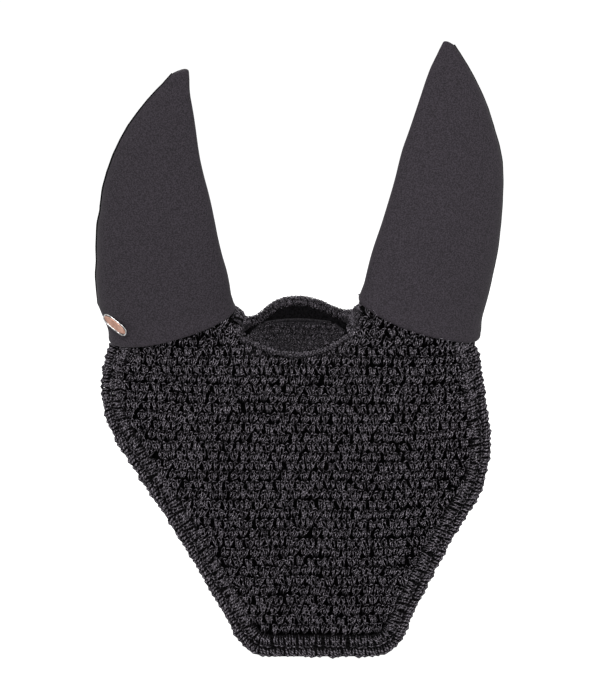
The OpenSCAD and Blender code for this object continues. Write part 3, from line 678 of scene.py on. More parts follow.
# Rows are worked to and fro, so every other row shows its back, which leans.
KINDS = 5
FRONT_LEANS = (0.0, 0.05, -0.07, 0.09, -0.04)
BACK_LEANS = (0.1, 0.14, 0.06, 0.17, 0.12)
FAN_LOOSE = 0.5 * MM
FANS = [net_fan(lean, FAN_LOOSE) for lean in FRONT_LEANS + BACK_LEANS]
print("fans", len(FANS), "of", len(FANS[0][1]), "faces")


# %% Where the net ends
def centre_line(name, step=1.5 * MM, inset=1 * MM):
    """The middle of a cord-like node, at steps of x between its ends."""
    low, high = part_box(name)
    edges, line = edges_of(name), []
    for x in np.arange(low.x + inset, high.x - inset, step):
        points = cut(edges, np.array([x, 0, 0]), X)
        if len(points):
            line.append((points.min(0) + points.max(0)) / 2)
    return np.array(line)


lip_line = centre_line("lip_row")
net_angles = np.radians(np.arange(0, 360, 1.0))
net_limit = reach_round("front_panel", net_angles)
TUCK_SLOPE = 0.7
TUCK_FROM = 0.06


def past_net(x, z):
    """How far a place is past the net's end, and how high it is above the panel's centre."""
    dx, dz = x - PANEL_CENTRE[0], z - PANEL_CENTRE[2]
    limit = np.interp(math.atan2(dz, dx) % (2 * math.pi), net_angles, net_limit, period=2 * math.pi)
    return math.hypot(dx, dz) - limit, dz


# Above the net's end the surface slopes back, so that stitches there go in under the ears.
for i, x in enumerate(grid_x):
    for k, z in enumerate(grid_z):
        past, rise = past_net(x, z)
        if rise > TUCK_FROM and not lip_line[0, 0] < x < lip_line[-1, 0]:
            surface[i, k] += TUCK_SLOPE * max(0, past)
slope_x, slope_z = np.gradient(surface, GRID)
print("net reaches", round(net_limit.min(), 3), "to", round(net_limit.max(), 3), "m")

# %% Working the net
OPENING_MARGIN = 1 * MM


def in_opening(x, z):
    """True above the lip, between its ends."""
    inside = lip_line[0, 0] < x < lip_line[-1, 0]
    return inside and z > np.interp(x, lip_line[:, 0], lip_line[:, 2]) - OPENING_MARGIN


NET_DRIFT = 1.2 * MM
DRIFT_SCALE = 28
NET_STRAY = 0.5 * MM
NET_TURN = 0.17
NET_SIZE = 1.02
NET_VARY = 0.06
NET_TUCK = 6.0 * MM
NET_SPILL = 0.5 * MM


def drift(x, z, layer):
    """How far hand work strays from an even grid, at a place on the panel."""
    return NET_DRIFT * noise.noise(Vector((x * DRIFT_SCALE, layer, z * DRIFT_SCALE)))


def net_spots():
    spots = []
    for row, z in enumerate(np.arange(cad_low.z, GRID_TOP, STITCH_H)):
        for x in np.arange(cad_low.x, cad_high.x, STITCH_W) + (row % 2) * STITCH_W / 2:
            past, rise = past_net(x, z)
            if past < (NET_TUCK if rise > TUCK_FROM else NET_SPILL) and not in_opening(x, z):
                spots.append((x + drift(x, z, 1) + rng.normal(0, NET_STRAY),
                              z + drift(x, z, 5) + rng.normal(0, NET_STRAY),
                              rng.normal(0, NET_TURN), NET_SIZE + rng.normal(0, NET_VARY),
                              rng.integers(KINDS) + KINDS * (row % 2)))
    return spots


crochet("crochet_net", "front_panel", stamp(FANS, net_spots(), on_panel), lightened_net_yarn)

# %% [markdown]
# ## Border and trim
#
# Round the sides and hem runs a row of tall posts, and outside it a tight finishing row. Both follow
# the CAD strips: one coordinate runs along a strip and the other across it, so that a stitch modelled
# flat bends round the corners. Yarn runs along behind them, darkened by painted shade, so that no light
# comes through.

# %% Lines along the border and trim
ANGLES = np.radians(np.arange(60, 480, 0.75))
END_TUCK = 3.5 * MM


def even(values, span=5):
    padded = np.pad(values, span, mode="edge")
    return np.convolve(padded, np.ones(2 * span + 1) / (2 * span + 1), "valid")


def strip_lines(name):
    """(angles, inner, outer) of a strip round the panel, as even distances from the panel's centre."""
    lines = []
    for angle, ray, points in fan(edges_of(name), PANEL_CENTRE, X, Z, ANGLES):
        if points is not None:
            reach = (points - PANEL_CENTRE) @ ray
            lines.append((angle, reach.min(), reach.max()))
    angles, inner, outer = np.array(lines).T
    return angles, even(inner), even(outer)


def along(angles, inner, outer):
    """(length, width, place) of a strip round the panel, tucked under the ears at both ends.

    u runs along it, w from its inner line outwards.
    """
    centre = PANEL_CENTRE[[0, 2]]
    ray = np.stack([np.cos(angles), np.sin(angles)], -1)
    low, high = centre + ray * inner[:, None], centre + ray * outer[:, None]
    middle = (low + high) / 2
    forward = units(np.gradient(middle, axis=0))
    outward = np.stack([forward[:, 1], -forward[:, 0]], -1)
    outward *= np.sign((outward * ray).sum(1, keepdims=True))
    half = np.median(np.linalg.norm(high - low, axis=1) * (outward * ray).sum(1)) / 2
    tuck = END_TUCK * forward
    middle = np.concatenate([middle[:1] - tuck[:1], middle, middle[-1:] + tuck[-1:]])
    outward = np.concatenate([outward[:1], outward, outward[-1:]])
    run = run_of(middle)

    def place(u, w, n):
        flat = read(u, run, middle) + read(u, run, outward) * (w - half)[..., None]
        return on_panel(flat[..., 0], flat[..., 1], n)

    return run[-1], half * 2, place


border = along(*strip_lines("panel_border"))
trim = along(*strip_lines("edge_trim"))
print("border", round(border[0], 3), "trim", round(trim[0], 3), "m long")

# %% A post and a knot
POST_PITCH = 4.9 * MM
TRIM_PITCH = 5.0 * MM


def border_post(lean):
    """One tall post across the border: two strands, one that wraps across them, and a loop at the head."""
    size = (POST_PITCH, border[1], MM)
    post = [by_hand([(side * 0.2, -0.2, 0.1), (side * 0.24, 0.35, 1.4), (side * 0.26, 0.95, 0.3)],
                    [0.75, 0.95, 0.8], 0.4 * MM, scale=size, leans=(lean, 0, -lean)) for side in (-1, 1)]
    wrap = by_hand([(-0.4, 0.08, 0.9), (0, 0.36, 2.1), (0.36, 0.62, 0.9)],
                   [0.55, 0.8, 0.55], 0.4 * MM, scale=size, leans=(lean, 0, 0))
    head = by_hand([(-0.58, 0.78, 0.2), (0, 0.9, 1.6), (0.58, 0.84, 0.2)], [0.65, 0.9, 0.65], 0.35 * MM,
                   scale=size)
    return joined(*post, wrap, head)


def trim_knot(lean):
    """A tight stitch of the edging: two slanting legs under a loop along the edge."""
    size = (TRIM_PITCH, trim[1], MM)
    legs = [by_hand([(0.26 * k - 0.1, -0.06, 0.2), (0.28 * k, 0.4, 1.5), (0.22 * k + 0.1, 0.86, 0.6)],
                    [0.9, 1.2, 1.0], 0.3 * MM, scale=size, leans=(lean, 0, -lean)) for k in (-1, 1)]
    edge = by_hand([(-0.62, 0.74, 0.2), (-0.1, 0.86, 1.4), (0.62, 0.74, -0.3)], [0.9, 1.25, 0.9], 0.3 * MM,
                   scale=size)
    return joined(*legs, edge)


LEANS = (0.5 * MM, -0.5 * MM, 0.1 * MM, -0.9 * MM, 0.9 * MM, -0.2 * MM)
TRIM_LEAN = 0.6
print("posts and knots in", len(LEANS), "leans")

# %% Post row and edge trim
ROW_HAND = (0.35 * MM, 0, 0.09, 0.06)
GROUND_STEP = 4 * MM
GROUND_SHADE = 0.33
GROUND_SINK = 0.55
GROUND_SIDES = 6


def ground(length, place, across, radius):
    """Yarn that runs along behind a row at each of the places across it, so that no light comes through,
    darkened by painted shade.
    """
    parts, run = [], np.linspace(0, length, int(length / GROUND_STEP))
    for w in across:
        line = place(run, np.full_like(run, w), np.full_like(run, -radius * GROUND_SINK))
        corners, faces, lays, _ = strand(line, radius, GROUND_SIDES)
        parts.append((corners, faces, lays, np.full(len(corners), GROUND_SHADE)))
    return joined(*parts)


def strayed(u, w, hand, size, kinds, first=0):
    """A spot as a hand leaves it; hand is how far it strays along, across, in its turn and in its size."""
    along, across, turn, vary = hand
    return (u + rng.normal(0, along), w + rng.normal(0, across) if across else w, rng.normal(0, turn),
            size * (1 + rng.normal(0, vary)), rng.integers(kinds) + first)


def edge_row(name, node, patterns, strip, pitch, across, radius):
    """A row of stitches along a strip of the panel's edge, over ground yarn."""
    length, width, place = strip
    count = int(length / pitch)
    spots = [strayed((k + 0.5) * length / count, 0, ROW_HAND, 1, len(patterns)) for k in range(count)]
    stitches = stamp(patterns, spots, place)
    backing = ground(length, place, width * np.array(across), radius)
    crochet(name, node, joined(stitches, backing), crochet_yarn)


edge_row("border_posts", "panel_border", [border_post(lean) for lean in LEANS], border, POST_PITCH,
         across=(0.0, 0.35, 0.7, 1.0), radius=1.9 * MM)
edge_row("edge_trim_row", "edge_trim", [trim_knot(TRIM_LEAN * lean) for lean in LEANS], trim, TRIM_PITCH,
         across=(0.15, 0.62), radius=2.1 * MM)

# %% [markdown]
# ## The poll opening
#
# The crochet goes on round the opening between the ears: a lip at the front, a bridge at each ear and
# an arched band behind. Its rim is a roll of small stitches, so the fans are copied at a smaller size
# round the centre line of each CAD cord, over a core darkened by painted shade, and the stitches are
# lightened by painted light. The band and the bridges hang from the rim as strips of fans, and a
# bridge has a rolled shoulder where it goes round the ear.


# %% The rolled ring round the opening
RING_SIZE = 0.7
RING_RELIEF = 0.6
RING_LIGHT = 0.2
RING_HAND = (0.3 * MM, 0.3 * MM, 0.15, 0.06)
CORE_SHARE = 0.86
CORE_SIDES = 10
CORE_SHADE = 0.45


def round_rim(line, radius, facing):
    """(length, place): u runs along a roll, w goes round it from its top, n stands out from it."""
    run = run_of(line)
    forward = units(np.gradient(line, axis=0))
    top = units(facing - (forward * facing).sum(1, keepdims=True) * forward)
    side = np.cross(forward, top)
    middle = np.mean(radius)

    def place(u, w, n):
        turn = (w / middle)[..., None]
        out = (np.interp(u, run, radius) + RING_RELIEF * n)[..., None]
        ray = np.cos(turn) * read(u, run, top) + np.sin(turn) * read(u, run, side)
        return read(u, run, line) + out * ray

    return run[-1], place


def bezier(first, leave, arrive, last, count):
    t = np.linspace(0, 1, count)[:, None]
    return (1 - t) ** 3 * first + 3 * (1 - t) ** 2 * t * leave + 3 * (1 - t) * t**2 * arrive + t**3 * last


def bricks(length, count, rows, level, hand, size):
    """Spots of fans in rows like bricks; level says how far across each row is."""
    return [strayed((k + 0.5 + 0.5 * (row % 2)) * length / (count + 0.5), level(row), hand, size,
                    KINDS, KINDS * (row % 2)) for row in rows for k in range(count)]


def rolled(line, radius, facing, reach):
    """A roll of small stitches over a core darkened by painted shade, the stitches lightened by painted
    light; reach is how far round it the stitches go, in degrees.
    """
    radius = np.broadcast_to(radius, len(line))
    length, place = round_rim(line, radius, facing)
    step = STITCH_H * RING_SIZE
    rows = int(math.radians(reach) * radius.mean() / step)
    count = int(length / (STITCH_W * RING_SIZE))
    spots = bricks(length, count, range(-rows, rows + 1), lambda row: row * step, RING_HAND, RING_SIZE)
    *core, relief = strand(line, radius * CORE_SHARE, CORE_SIDES)
    *stitches, painted_shade_levels = stamp(FANS, spots, place)
    return joined((*core, np.full(len(relief), CORE_SHADE)), (*stitches, np.minimum(1, painted_shade_levels + RING_LIGHT)))


print("roll tools ready")

# %% Arch and lip
ARCH_RADIUS = 4.0 * MM
SIDE_RADIUS = 4.8 * MM
LIP_RADIUS = 1.8 * MM
SIDE_PULL = 9 * MM
SIDE_STEPS = 16
SIDE_INSET = 3 * MM
SIDE_DROP = 2 * MM
arch_line = centre_line("arch_row")
arch_line = np.stack([even(arch_line[:, a], 4) for a in range(3)], -1)


def arch_at(x):
    return read(x, arch_line[:, 0], arch_line)


def ring_side(end, onward):
    """The turn of the ring from the arch to an end of the lip; onward points from that end along the lip."""
    outward = -np.sign(onward[0]) * X
    start = arch_at(end[0] - SIDE_INSET * outward[0]) - SIDE_DROP * Z
    return bezier(start, start + SIDE_PULL * outward, end - SIDE_PULL * onward, end, SIDE_STEPS)


lip_forward = units(np.gradient(lip_line, axis=0))
left_side = ring_side(lip_line[0], lip_forward[0])
right_side = ring_side(lip_line[-1], -lip_forward[-1])
ring_line = np.concatenate([left_side[:-1], lip_line, right_side[::-1][1:]])
lip_share = np.concatenate([np.linspace(0, 1, SIDE_STEPS)[:-1], np.ones(len(lip_line)),
                            np.linspace(1, 0, SIDE_STEPS)[1:]])
ring_radius = SIDE_RADIUS + (LIP_RADIUS - SIDE_RADIUS) * lip_share**2
ARCH_REACH = 150
LIP_REACH = 110
arch_roll = rolled(arch_line, ARCH_RADIUS, np.array([0, -0.5, 1]), ARCH_REACH)
crochet("arch_edging", "arch_row", arch_roll, lightened_net_yarn)
lip_roll = rolled(ring_line, ring_radius, np.array([0, -0.7, 1]), LIP_REACH)
crochet("lip_edging", "lip_row", lip_roll, lightened_net_yarn)


# %% Strips that hang from the ring
def hanging(name, centre, angles):
    """(length, height, place) of a strip that hangs round a centre: w runs from its foot to its top."""
    foot, top, rays = [], [], []
    for _, ray, points in fan(edges_of(name), centre, X, Y, angles):
        if points is not None and len(points) > 3:
            points = points[np.argsort(points[:, 2])]
            middle = (points[0, 2] + points[-1, 2]) / 2
            low, high = points[points[:, 2] < middle], points[points[:, 2] >= middle]
            if len(low) and len(high):
                foot.append(np.append(low[:, :2].mean(0), points[0, 2]))
                top.append(np.append(high[:, :2].mean(0), points[-1, 2]))
                rays.append(ray)
    foot, top, rays = map(np.array, (foot, top, rays))
    middle = (foot + top) / 2
    run, up = run_of(middle), top - foot
    height = np.median(np.linalg.norm(up, axis=1))
    normal = units(np.cross(np.gradient(middle, axis=0), up))
    normal *= np.sign((normal * rays).sum(1, keepdims=True))

    def place(u, w, n):
        risen = read(u, run, foot) + (w / height)[..., None] * read(u, run, up)
        return risen + n[..., None] * read(u, run, normal)

    return run[-1], height, place


STRIP_TUCK = 4 * MM
STRIP_HAND = (0.3 * MM, 0, 0.06, 0.04)


def strip_spots(length, height):
    height = height + STRIP_TUCK
    rows = max(1, round(height / STITCH_H))
    return bricks(length, int(length / STITCH_W), range(rows), lambda row: (row + 0.5) * height / rows,
                  STRIP_HAND, 1)


print("strip tools ready")

# %% The band behind the poll and the bridges
STRIP_STEP = 0.5
STRIP_GROUND = 8
STRIP_YARN = 2.2 * MM
STRIP_LOW, STRIP_HIGH = 0.08, 0.92
BRIDGE_LOW = -0.3
SHOULDER_STEPS = 24
SHOULDER_ENDS = (0.04, 0.96)
SHOULDER_SINK = 6 * MM
SHOULDER_STAND = 0.8
SHOULDER_REACH = 150


def crochet_strip(name, node, centre, start, end, shoulder=0, below=0):
    """A crocheted strip over ground yarn, between two angles, with a rolled shoulder of some radius."""
    length, height, place = hanging(node, np.array(centre), np.radians(np.arange(start, end, STRIP_STEP)))
    across = np.linspace(BRIDGE_LOW if shoulder else STRIP_LOW, STRIP_HIGH, STRIP_GROUND)
    backing = ground(length, place, height * across, STRIP_YARN)
    parts = joined(stamp(FANS, strip_spots(length, height), place), backing)
    if shoulder:
        shares, level = np.linspace(*SHOULDER_ENDS, SHOULDER_STEPS), np.ones(SHOULDER_STEPS)
        line = place(shares * length, level * (height - shoulder - below), level * shoulder * SHOULDER_STAND)
        rearward = np.clip((line[:, 1] - line[:, 1].mean()) / np.ptp(line[:, 1]) * 2, 0, 1)
        line[:, 2] -= SHOULDER_SINK * rearward**2
        parts = joined(parts, rolled(line, level * shoulder, np.array([0, -0.3, 1]), SHOULDER_REACH))
    crochet(name, node, parts, lightened_net_yarn)


BAND_CENTRE = np.array([-0.012, -0.06, 0])
left_hinge = np.array(joints["left_ear_swing"]["pos_m"])
right_hinge = np.array(joints["right_ear_swing"]["pos_m"])
crochet_strip("crochet_band", "rear_band", BAND_CENTRE, start=33, end=149)
crochet_strip("left_crochet_bridge", "left_bridge", left_hinge, start=-90, end=90, shoulder=6.0 * MM)
crochet_strip("right_crochet_bridge", "right_bridge", right_hinge, start=90, end=270, shoulder=4.0 * MM,
              below=5 * MM)

# %% [markdown]
# ## Linings
#
# Behind the net lies a fine dark cloth, which shows through every gap, darkened there by painted
# shade, and stands up in the poll opening as a flap with a rolled hem. A cloth like this could be
# draped by simulation, but it is sewn down all round, so it is shaped straight from the panel's surface
# and given its thickness. The flap is faced with fine stitches, and the band has a narrow lining of its
# own, held dark by painted shade.


# %% Cloth helpers
def thicken(made, thickness, offset):
    """Gives a cloth its thickness, as by hand, with an applied Solidify."""
    bpy.context.view_layer.objects.active = made
    solid = made.modifiers.new("thickness", "SOLIDIFY")
    solid.thickness = thickness
    solid.offset = offset
    bpy.ops.object.modifier_apply(modifier=solid.name)
    made.data.polygons.foreach_set("use_smooth", [True] * len(made.data.polygons))


def laid(flat, faces):
    """The UV of each corner of the faces of a sheet that lies flat."""
    return np.stack(flat, -1)[[i for face in faces for i in face]]


def ripple(points, size, depth):
    """A soft unevenness of the cloth at each point."""
    return depth * np.array([noise.noise(Vector(point) * size) for point in points])


print("cloth helpers ready")

# %% Outline of the panel lining
lining_angles = np.radians(np.arange(0, 360, 2.0))
lining_limit = reach_round("panel_lining", lining_angles)
LINING_TUCK = 12 * MM
TUCK_INSET = 6 * MM
TUCK_FADE = 10 * MM
top_x = PANEL_CENTRE[0] + lining_limit * np.cos(lining_angles)
for side in ("left", "right"):
    foot_low, foot_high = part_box(f"{side}_base_seam")
    inside = np.minimum(top_x - foot_low.x, foot_high.x - top_x) - TUCK_INSET
    lining_limit += LINING_TUCK * np.clip(inside / TUCK_FADE, 0, 1) * (np.sin(lining_angles) > 0)
lip_low, lip_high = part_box("lip_row")
FLAP_RISE = 8 * MM
FLAP_DROP = 13 * MM
FLAP_LEAST = -9 * MM
from_middle = (top_x - (lip_low.x + lip_high.x) / 2) / ((lip_high.x - lip_low.x) / 2)
in_flap = (abs(from_middle) < 1) & (np.sin(lining_angles) > 0)
lining_limit += np.where(in_flap, np.maximum(FLAP_LEAST, FLAP_RISE - FLAP_DROP * from_middle**2), 0)
print("lining reaches", round(lining_limit.min(), 3), "to", round(lining_limit.max(), 3), "m")

# %% Panel lining
LINING_RINGS = 44
LINING_THICK = 0.8 * MM
LINING_HOLE = 0.02
share = np.linspace(LINING_HOLE, 1, LINING_RINGS)[:, None]
lining_x = (PANEL_CENTRE[0] + share * lining_limit * np.cos(lining_angles)).ravel()
lining_z = (PANEL_CENTRE[2] + share * lining_limit * np.sin(lining_angles)).ravel()
uneven = ripple(np.stack([lining_x, 0 * lining_x, lining_z], -1), size=45, depth=0.4 * MM)
lining_y = sample(surface, lining_x, lining_z) + LINING_BACKSET - uneven
lining_points = np.stack([lining_x, lining_y, lining_z], -1)
lining_faces = sheet_grid(LINING_RINGS, len(lining_angles), True) + [list(range(len(lining_angles)))[::-1]]
lining_lay = laid([lining_x, lining_z], lining_faces)
lining = piece("lining_sheet", lining_points, lining_faces, lining_lay, 1, lining_cloth, "lining_fabric")
thicken(lining, LINING_THICK, 1)


def under_net(vertex):
    """True for the lining's front face where the net covers it."""
    inside = lip_low.x < vertex.co.x < lip_high.x and vertex.co.z > lip_low.z
    return vertex.normal.y < 0 and not inside


# Painted shade: the lining's front is darkened where the net covers it.
shades = [0.0 if under_net(v) else 1.0 for v in lining.data.vertices]
lining.data.attributes["height"].data.foreach_set("value", shades)
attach(lining, "bonnet")
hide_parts("panel_lining")


# %% Fine stitches on the flap
FLAP_SIZE = 0.5
FLAP_SINK = LINING_BACKSET - 1.1 * MM
FLAP_FOOT = 4 * MM
FLAP_UNDER = 3 * MM
FLAP_CLEAR = 1.5 * MM
FLAP_HAND = (0.4 * MM, 0.4 * MM, 0.3, 0.08)


def on_flap(x, z, proud):
    return on_panel(x, z, proud - FLAP_SINK)


top_ring = lining_points[-len(lining_angles):][in_flap]
top_ring = top_ring[np.argsort(top_ring[:, 0])]
flap_spots = []
for row, z in enumerate(np.arange(lip_low.z - FLAP_FOOT, top_ring[:, 2].max(), STITCH_H * FLAP_SIZE)):
    for x in np.arange(lip_low.x, lip_high.x, STITCH_W * FLAP_SIZE) + (row % 2) * STITCH_W * FLAP_SIZE / 2:
        above_lip = z - np.interp(x, lip_line[:, 0], lip_line[:, 2])
        below_top = np.interp(x, top_ring[:, 0], top_ring[:, 2]) - z
        if above_lip > -FLAP_UNDER and below_top > FLAP_CLEAR:
            flap_spots.append(strayed(x, z, FLAP_HAND, FLAP_SIZE, 2 * KINDS))
flap = piece("flap_stitches", *stamp(FANS, flap_spots, on_flap), crochet_yarn, "crochet_yarn")
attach(flap, "bonnet")
print("flap", len(flap_spots), "stitches")


# %% Flap hem
def roll(name, line, radius, sides, finish, slot):
    """A round roll of cloth or thread along a line."""
    corners, faces, lays, _ = strand(line, radius, sides)
    return piece(name, corners, faces, lays * (2 * math.pi * np.max(radius), 1), 1, finish, slot)


HEM_INSET = 0.3
HEM_RADIUS = 1.1 * MM
HEM_SIDES = 10
flap_top = lining_points[-len(lining_angles):][in_flap & (abs(from_middle) < 1 - HEM_INSET)]
flap_top = flap_top[np.argsort(flap_top[:, 0])]
hem = roll("flap_hem_roll", flap_top, HEM_RADIUS, HEM_SIDES, lining_cloth, "lining_fabric")
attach(hem, "bonnet")
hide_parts("flap_hem")
print("hem", len(hem.data.polygons), "faces")

# %% Band lining
BAND_LINING_ROWS = 8
BAND_COLUMNS = 90
BAND_TUCK = 5 * MM
BAND_SHADE = 0.3
band_run, band_tall, band_place = hanging("band_lining", BAND_CENTRE, np.radians(np.arange(0, 180, 1.0)))
band_u, band_w = np.meshgrid(np.linspace(0, band_run, BAND_COLUMNS),
                             np.linspace(0, band_tall + BAND_TUCK, BAND_LINING_ROWS))
band_points = band_place(band_u, band_w, np.zeros_like(band_u)).reshape(-1, 3)
band_faces = sheet_grid(BAND_LINING_ROWS, BAND_COLUMNS, False)
band_lay = laid([band_u.ravel(), band_w.ravel()], band_faces)
# Painted shade over the whole band lining, under the arch.
band_lining = piece("band_lining_sheet", band_points, band_faces, band_lay, BAND_SHADE, lining_cloth,
                    "lining_fabric")
thicken(band_lining, LINING_THICK, 0)
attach(band_lining, "bonnet")
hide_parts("band_lining")
print("band lining", round(band_run, 3), "by", round(band_tall, 4), "m")

# %% [markdown]
# ## Ear covers
#
# Each ear cover is one piece of smooth stretch fabric, folded along the inner edge and sewn along
# the outer one, pulled over the crochet at its foot. One mesh runs from the foot to the tip: rays cast
# at the CAD ear from outside give its rings of points. A subdivision smooths it, and thread runs along
# the outer edge and round the foot.

# %% Rings of points on an ear
EAR_SIDES = 72
EAR_SETTLE = 0.35
EAR_SHARES = np.concatenate([np.linspace(0.012, 0.9, 58), np.linspace(0.91, 0.985, 12)])
CAST_FROM = 0.2
CAST_REACH = 0.25
CENTRE_PASSES = 3
ODD_STEP = 2.5 * MM
MEND_PASSES = 2
EAR_TURNS = np.linspace(0, 2 * math.pi, EAR_SIDES, endpoint=False)


def unit(vector):
    return vector / np.linalg.norm(vector)


def ease(t):
    t = np.clip(t, 0, 1)
    return t * t * (3 - 2 * t)


def reach_to(solid, centre, ray):
    """How far a solid's outside is from a centre along a ray, or nan."""
    hit = solid.ray_cast(Vector(centre + ray * CAST_FROM), Vector(-ray), CAST_REACH)[0]
    return np.nan if hit is None else (np.array(hit) - centre) @ ray


def ear_rings(side, hinge_axis):
    """Rings of points on the outside of a CAD ear, from foot to tip, and the ear's spine."""
    solid = bvh(f"{side}_ear_cuff", f"{side}_ear_cover")
    ring, cover = points_of(f"{side}_base_seam"), points_of(f"{side}_ear_cover")
    foot, tip = ring.mean(0), cover[cover[:, 2].argmax()]
    level = np.linalg.svd(ring - foot)[2][2]
    level *= np.sign(level[2])
    centres, reach, rays = [], [], []
    for t in EAR_SHARES:
        plane = unit(level * (1 - ease(t / EAR_SETTLE)) + unit(tip - foot) * ease(t / EAR_SETTLE))
        across = unit(hinge_axis - (hinge_axis @ plane) * plane)
        back = np.cross(plane, across)
        ray = np.cos(EAR_TURNS)[:, None] * across + np.sin(EAR_TURNS)[:, None] * back
        centre = foot + (tip - foot) * t
        for _ in range(CENTRE_PASSES):
            hits = np.array([reach_to(solid, centre, one) for one in ray])
            hits = np.where(np.isnan(hits), np.nanmedian(hits), hits)
            centre = centre + (hits[:, None] * ray).mean(0)
        centres.append(centre)
        reach.append([reach_to(solid, centre, one) for one in ray])
        rays.append(ray)
    centres, reach, rays = np.array(centres), np.array(reach), np.array(rays)
    for _ in range(MEND_PASSES):
        for row in range(2, len(reach) - 2):
            usual = np.nanmedian(reach[row - 2 : row + 3], axis=0)
            odd = np.isnan(reach[row]) | (abs(reach[row] - usual) > ODD_STEP)
            reach[row, odd] = usual[odd]
    return centres, reach, rays, level


print(len(EAR_SHARES), "ear rings of", EAR_SIDES, "points")

# %% Shape of an ear shell
FOOT_FLARE = 2.0 * MM
FOOT_DROP = 3.0 * MM
FLARE_SHARE = 0.07
FOOT_HEM = ((-2.2, 1.15), (-0.6, 1.2), (0.3, 0.95), (0.5, 0.5))
TIP_FROM = 0.88
PULL_ALL, PULL_INNER = 0.65, 0.35
TIP_PULL = {"left": (3.4, 0, 6.4), "right": (0.6, 0, 3.4)}
# How far an ear's edges stand out, in mm, at shares of its length; edge -1 faces towards -X and 1 towards +X.
EAR_OUTLINE = {
    "left": {-1: ((0, 0.033, 0.076, 0.12, 0.207, 0.25, 0.295, 0.38, 0.43, 0.51, 0.6, 0.775, 0.86, 0.95, 1),
                  (-2, -1.4, 2.6, 5.6, 4.2, 2.4, 1.8, 0.3, -1.6, -1.5, -2, -1.6, -2, -2.4, -1))},
    "right": {1: ((0.2, 0.3, 0.6, 0.7), (0, 1.4, 1.6, 0)),
              -1: ((0.2, 0.3, 0.5, 0.6, 0.9, 1), (-1.2, -1.2, 0, 1.5, 1.8, 0))},
}
EDGE_POWER = 5
TIP_CROWN = 0.9 * MM
RIPPLES = ((18, 1.6 * MM), (45, 0.3 * MM))


def ear_points(side, hinge_axis, seed):
    """Rings of points from an ear's foot to its tip, then the tip, the ear's spine and its girth."""
    centres, reach, rays, level = ear_rings(side, hinge_axis)
    flare = FOOT_FLARE * (1 - ease(EAR_SHARES / FLARE_SHARE))
    points = centres[:, None] + rays * (reach + flare[:, None])[..., None]
    inner = PULL_ALL + PULL_INNER * np.cos(EAR_TURNS) * (1 if side == "left" else -1)
    pull = (ease((EAR_SHARES - TIP_FROM) / (1 - TIP_FROM)) ** 2)[:, None] * inner
    points = points + pull[..., None] * np.array(TIP_PULL[side]) * MM
    for edge, (at, stand) in EAR_OUTLINE[side].items():
        facing = np.clip(np.cos(EAR_TURNS) * edge, 0, 1) ** EDGE_POWER
        points = points + rays * (np.interp(EAR_SHARES, at, stand)[:, None] * facing)[..., None] * MM
    tip = points[-1].mean(0) + TIP_CROWN * unit(points[-1].mean(0) - points[-4].mean(0))
    hem = [points[0] + rays[0] * out * MM - level * down * FOOT_DROP for out, down in FOOT_HEM]
    points = np.concatenate([hem, points])
    flat = points.reshape(-1, 3)
    uneven = sum(ripple(flat + seed, size, depth) for size, depth in RIPPLES)
    outward = np.concatenate([rays[:1]] * len(FOOT_HEM) + [rays]).reshape(-1, 3)
    flat = flat + outward * uneven[:, None]
    return flat.reshape(points.shape), tip, centres, 2 * reach.mean(1).max() * math.pi


print("ear outlines", list(EAR_OUTLINE))


# %% The mesh of an ear shell
def ear_shell(side, hinge_axis, seed):
    """A shell that is closed at the tip, with its rings of points and its spine."""
    points, tip, centres, girth = ear_points(side, hinge_axis, seed)
    rows, columns = points.shape[:2]
    pole, last = rows * columns, (rows - 1) * columns
    corners = np.concatenate([points.reshape(-1, 3), tip[None]])
    faces = sheet_grid(rows, columns, True)
    faces += [[last + k, last + (k + 1) % columns, pole] for k in range(columns)]
    lift = run_of(points.mean(1))
    lays = []
    for face in faces:
        at = [(i // columns if i != pole else rows - 1, i % columns if i != pole else 0) for i in face]
        turn = [column for _, column in at]
        if max(turn) - min(turn) > columns // 2:
            turn = [column + columns if column < columns // 2 else column for column in turn]
        lays += [(column / columns * girth, lift[row]) for (row, _), column in zip(at, turn)]
    made = piece(f"{side}_ear_shell", corners, faces, lays, 1, ear_fabric, "ear_fabric")
    return made, points, centres


print("ear mesh ready")

# %% Ear shells
EAR_THICK = 1.2 * MM
FLEX_FROM = 0.10
FLEX_TO = 0.33


def flex(made, centres):
    """Bakes a piece's placement into its mesh; the stretch of the ear's spine where it would bend is read,
    but nothing is bent.
    """
    start, end = read([FLEX_FROM, FLEX_TO], EAR_SHARES, centres).tolist()
    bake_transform(made)


ear_lines = {}
for side, seed in (("left", 3.1), ("right", 8.7)):
    hinge_axis = np.array(joints[f"{side}_ear_swing"]["axis"])
    shell, points, centres = ear_shell(side, hinge_axis, seed)
    thicken(shell, EAR_THICK, -1)
    bpy.context.view_layer.objects.active = shell
    smooth = shell.modifiers.new("smooth", "SUBSURF")
    smooth.levels = smooth.render_levels = 1
    bpy.ops.object.modifier_apply(modifier=smooth.name)
    flex(shell, centres)
    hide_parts(f"{side}_ear_cuff", f"{side}_ear_cover")
    ear_lines[side] = points, centres

# %% Ear seams
EDGE_THREAD = 0.7 * MM
FOOT_THREAD = 0.9 * MM
THREAD_SIDES = 6
